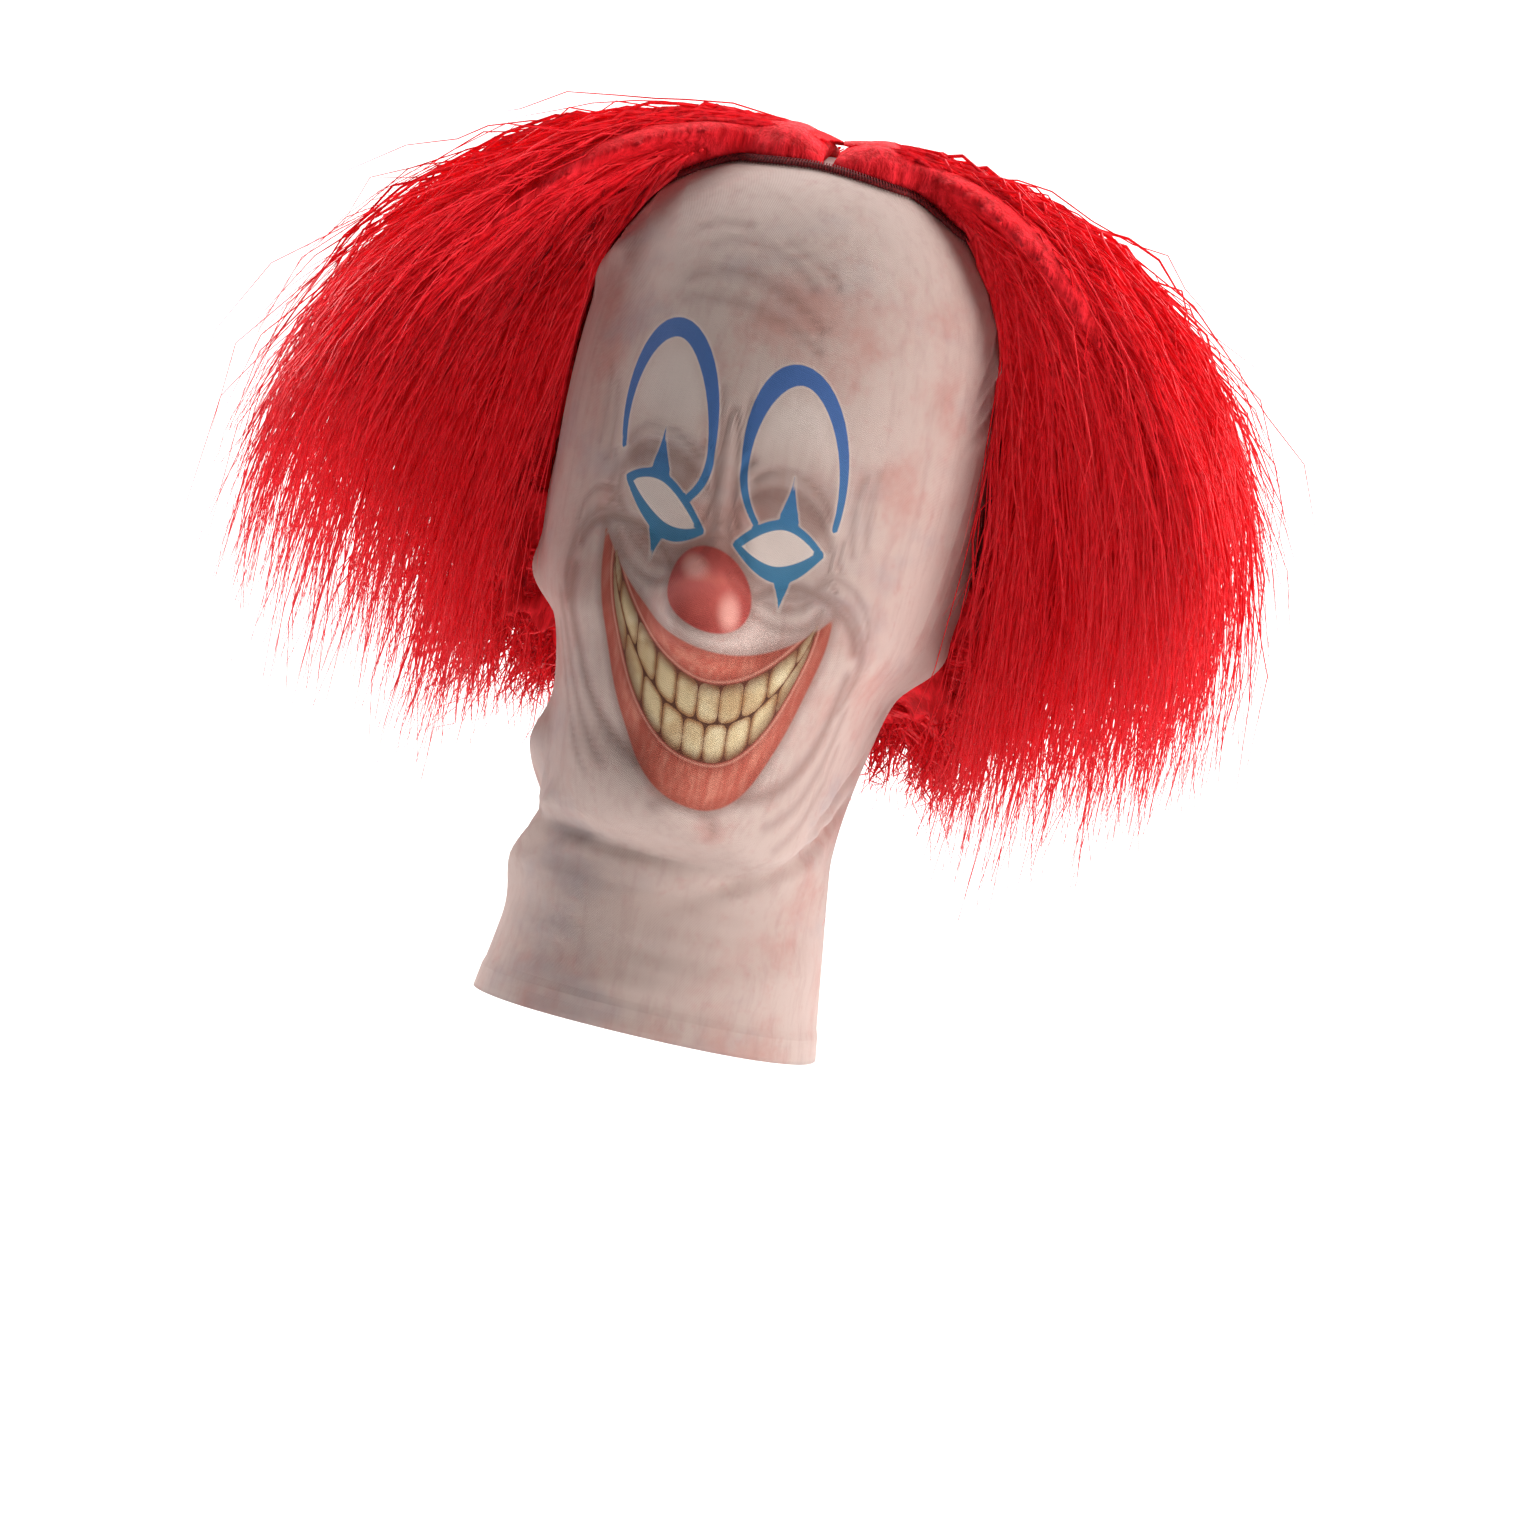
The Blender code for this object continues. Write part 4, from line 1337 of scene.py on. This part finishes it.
def make_stitches(head):
    """Slanted overlock stitches over the edging."""
    count, thread = 300, 0.0007
    above, below, slant = 0.10, 0.16, 0.010
    start_lift, finish_lift, bow = 0.0020, 0.0004, 0.0012
    chance = np.random.default_rng(21)
    turn = np.linspace(-math.pi, math.pi, count, endpoint=False)
    level = head.hairline(turn)
    out = head.normal(turn, level)
    start = head.point(turn, level - above) + start_lift * out
    finish = head.point(turn + slant, level + below) + finish_lift * out
    t = np.linspace(0, 1, 4)
    lines = start[:, None] * (1 - t)[None, :, None] + finish[:, None] * t[None, :, None]
    lines = lines + (bow * np.sin(t * math.pi))[None, :, None] * out[:, None]
    mesh = strand_mesh("hairline_stitches", lines, t, thread, chance.random(count))
    piece = add_piece("hairline_stitches", mesh, thread_material())


def make_seam(head):
    """The sewn edge of the fur along the hairline, with its overlock stitches."""
    make_edging(head)
    make_stitches(head)


# Stage


MASK_MIDDLE = Vector((0, 0, -0.12))
BACKDROP_MIDDLE = Vector((0, 2.0, -0.2))
SKY_LIGHT = 0.08

# name, place, what the light points at, size, power, colour
LIGHTS = (
    ("key", (2.00, -0.78, 0.58), MASK_MIDDLE, 0.7, 46.0, (1.0, 0.985, 0.965)),
    ("fill", (-1.2, -1.9, 0.1), MASK_MIDDLE, 1.6, 0.3, (0.97, 0.97, 1.0)),
    ("rim_right", (1.2, 0.7, 0.5), MASK_MIDDLE, 0.6, 8.0, (1.0, 1.0, 1.0)),
    ("rim_left", (-1.5, 0.35, 0.7), MASK_MIDDLE, 0.6, 26.0, (1.0, 1.0, 1.0)),
    ("backdrop", (0.0, 0.9, 1.9), BACKDROP_MIDDLE, 2.0, 75.0, (1.0, 1.0, 1.0)),
)


def make_paper():
    """A roll of white paper: a floor that curves up into the backdrop."""
    look = settings("stage")
    half_width, front, back, bend, top, bend_steps = 3.0, -2.6, 1.2, 0.8, 3.6, 8
    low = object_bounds()[0].z - 0.30
    profile = [(front, low), (back, low)]
    for step in range(1, bend_steps + 1):
        angle = math.radians(90 * step / bend_steps)
        profile.append((back + bend * math.sin(angle), low + bend * (1 - math.cos(angle))))
    profile.append((back + bend, low + top))
    bm = bmesh.new()
    verts = [bm.verts.new((-half_width, y, z)) for y, z in profile]
    edges = [bm.edges.new(pair) for pair in zip(verts, verts[1:])]
    grown = bmesh.ops.extrude_edge_only(bm, edges=edges)
    moved = [item for item in grown["geom"] if isinstance(item, bmesh.types.BMVert)]
    bmesh.ops.translate(bm, verts=moved, vec=(2 * half_width, 0, 0))
    bmesh.ops.recalc_face_normals(bm, faces=bm.faces)
    mesh = mesh_from_bmesh(bm, "paper_roll")
    paper = bpy.data.objects.new("paper_roll", mesh)
    bpy.context.scene.collection.objects.link(paper)
    g = Graph("white_paper")
    grain = g.noise(60.0, 3.0)
    tint = g.mix(grain * 0.04, look.paper[:], (0.86, 0.86, 0.87))
    mesh.materials.append(g.finish({}, Base_Color=tint, Roughness=0.8 + grain * 0.1))
    mesh.shade_smooth()
    paper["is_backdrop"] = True


def make_lights():
    """Soft studio lights and a faint even light all round."""
    scene = bpy.context.scene
    for name, place, target, size, power, tint in LIGHTS:
        data = bpy.data.lights.new(name, "AREA")
        data.size = size
        data.energy = power
        data.color = tint
        light = bpy.data.objects.new(name, data)
        light.location = place
        light.rotation_euler = (target - light.location).to_track_quat("-Z", "Y").to_euler()
        scene.collection.objects.link(light)
    world = bpy.data.worlds.new("studio")
    world.use_nodes = True
    background = world.node_tree.nodes["Background"]
    background.inputs["Color"].default_value = (1, 1, 1, 1)
    background.inputs["Strength"].default_value = SKY_LIGHT
    scene.world = world
    scene.view_settings.view_transform = "Standard"


def make_camera():
    """The camera, rolled so that the mask leans as it does in the photograph."""
    look = settings("stage")
    turn, rise = math.radians(look.turn), math.radians(look.rise)
    back = Vector((math.sin(turn) * math.cos(rise), -math.cos(turn) * math.cos(rise), math.sin(rise)))
    data = bpy.data.cameras.new("camera")
    data.lens = data.sensor_width * look.distance / look.seen
    camera = bpy.data.objects.new("camera", data)
    view = (-back).to_track_quat("-Z", "Y").to_matrix()
    view = view @ Matrix.Rotation(math.radians(look.roll), 3, "Z")
    aim_up = look.centre_z - MASK_MIDDLE.z
    target = MASK_MIDDLE + view @ Vector((look.centre_x, aim_up, 0))
    camera.matrix_world = Matrix.Translation(target + back * look.distance) @ view.to_4x4()
    bpy.context.scene.collection.objects.link(camera)
    bpy.context.scene.camera = camera


def make_stage():
    """Pale floor and backdrop, soft studio light and the camera."""
    make_paper()
    make_lights()
    make_camera()


# Operators


class CLOWNMASK_OT_hood(bpy.types.Operator):
    """Make the printed stretch hood"""

    bl_idname = "clown_mask.hood"
    bl_label = "Hood"

    def execute(self, context):
        make_hood()
        return {"FINISHED"}


class CLOWNMASK_OT_fur(bpy.types.Operator):
    """Make the fur under the loose strands"""

    bl_idname = "clown_mask.fur"
    bl_label = "Fur"

    def execute(self, context):
        head = Head()
        for side in (-1, 1):
            make_fur_mass(side, head)
        return {"FINISHED"}


class CLOWNMASK_OT_strands(bpy.types.Operator):
    """Make the loose crimped strands"""

    bl_idname = "clown_mask.strands"
    bl_label = "Strands"

    def execute(self, context):
        head = Head()
        material = strand_material("crimped_fibre", 1.0)
        for number, layer in enumerate(STRAND_LAYERS):
            for side in (-1, 1):
                make_strands(layer, side, head, material, 100 + 10 * number + side)
        return {"FINISHED"}


class CLOWNMASK_OT_seam(bpy.types.Operator):
    """Make the sewn edge along the hairline"""

    bl_idname = "clown_mask.seam"
    bl_label = "Seam"

    def execute(self, context):
        make_seam(Head())
        return {"FINISHED"}


class CLOWNMASK_OT_stage(bpy.types.Operator):
    """Make the backdrop, the lights and the camera"""

    bl_idname = "clown_mask.stage"
    bl_label = "Stage"

    def execute(self, context):
        make_stage()
        return {"FINISHED"}


class CLOWNMASK_PT_panel(bpy.types.Panel):
    """The mask's pieces and settings"""

    bl_label = "Clown Mask"
    bl_idname = "CLOWNMASK_PT_panel"
    bl_space_type = "VIEW_3D"
    bl_region_type = "UI"
    bl_category = "Clown Mask"

    def draw(self, context):
        for group in GROUPS:
            box = self.layout.box()
            box.label(text=group.capitalize())
            values = settings(group)
            for name in values.bl_rna.properties.keys():
                if name not in ("rna_type", "name"):
                    box.prop(values, name)
        for operator in OPERATORS:
            self.layout.operator(operator.bl_idname)


GROUPS = {"hood": HoodSettings, "print": PrintSettings, "hair": HairSettings, "stage": StageSettings}
OPERATORS = (
    CLOWNMASK_OT_hood,
    CLOWNMASK_OT_fur,
    CLOWNMASK_OT_strands,
    CLOWNMASK_OT_seam,
    CLOWNMASK_OT_stage,
)
CLASSES = (*GROUPS.values(), *OPERATORS, CLOWNMASK_PT_panel)


def register():
    """Adds the classes and their settings."""
    for cls in CLASSES:
        bpy.utils.register_class(cls)
    for name, cls in GROUPS.items():
        setattr(bpy.types.Scene, f"clown_mask_{name}", bpy.props.PointerProperty(type=cls))


def unregister():
    """Removes them."""
    for name in GROUPS:
        delattr(bpy.types.Scene, f"clown_mask_{name}")
    for cls in reversed(CLASSES):
        bpy.utils.unregister_class(cls)


def main():
    """Makes every piece in order."""
    register()
    bpy.ops.clown_mask.hood()
    bpy.ops.clown_mask.fur()
    bpy.ops.clown_mask.strands()
    bpy.ops.clown_mask.seam()
    bpy.ops.clown_mask.stage()


if __name__ == "__main__":
    main()
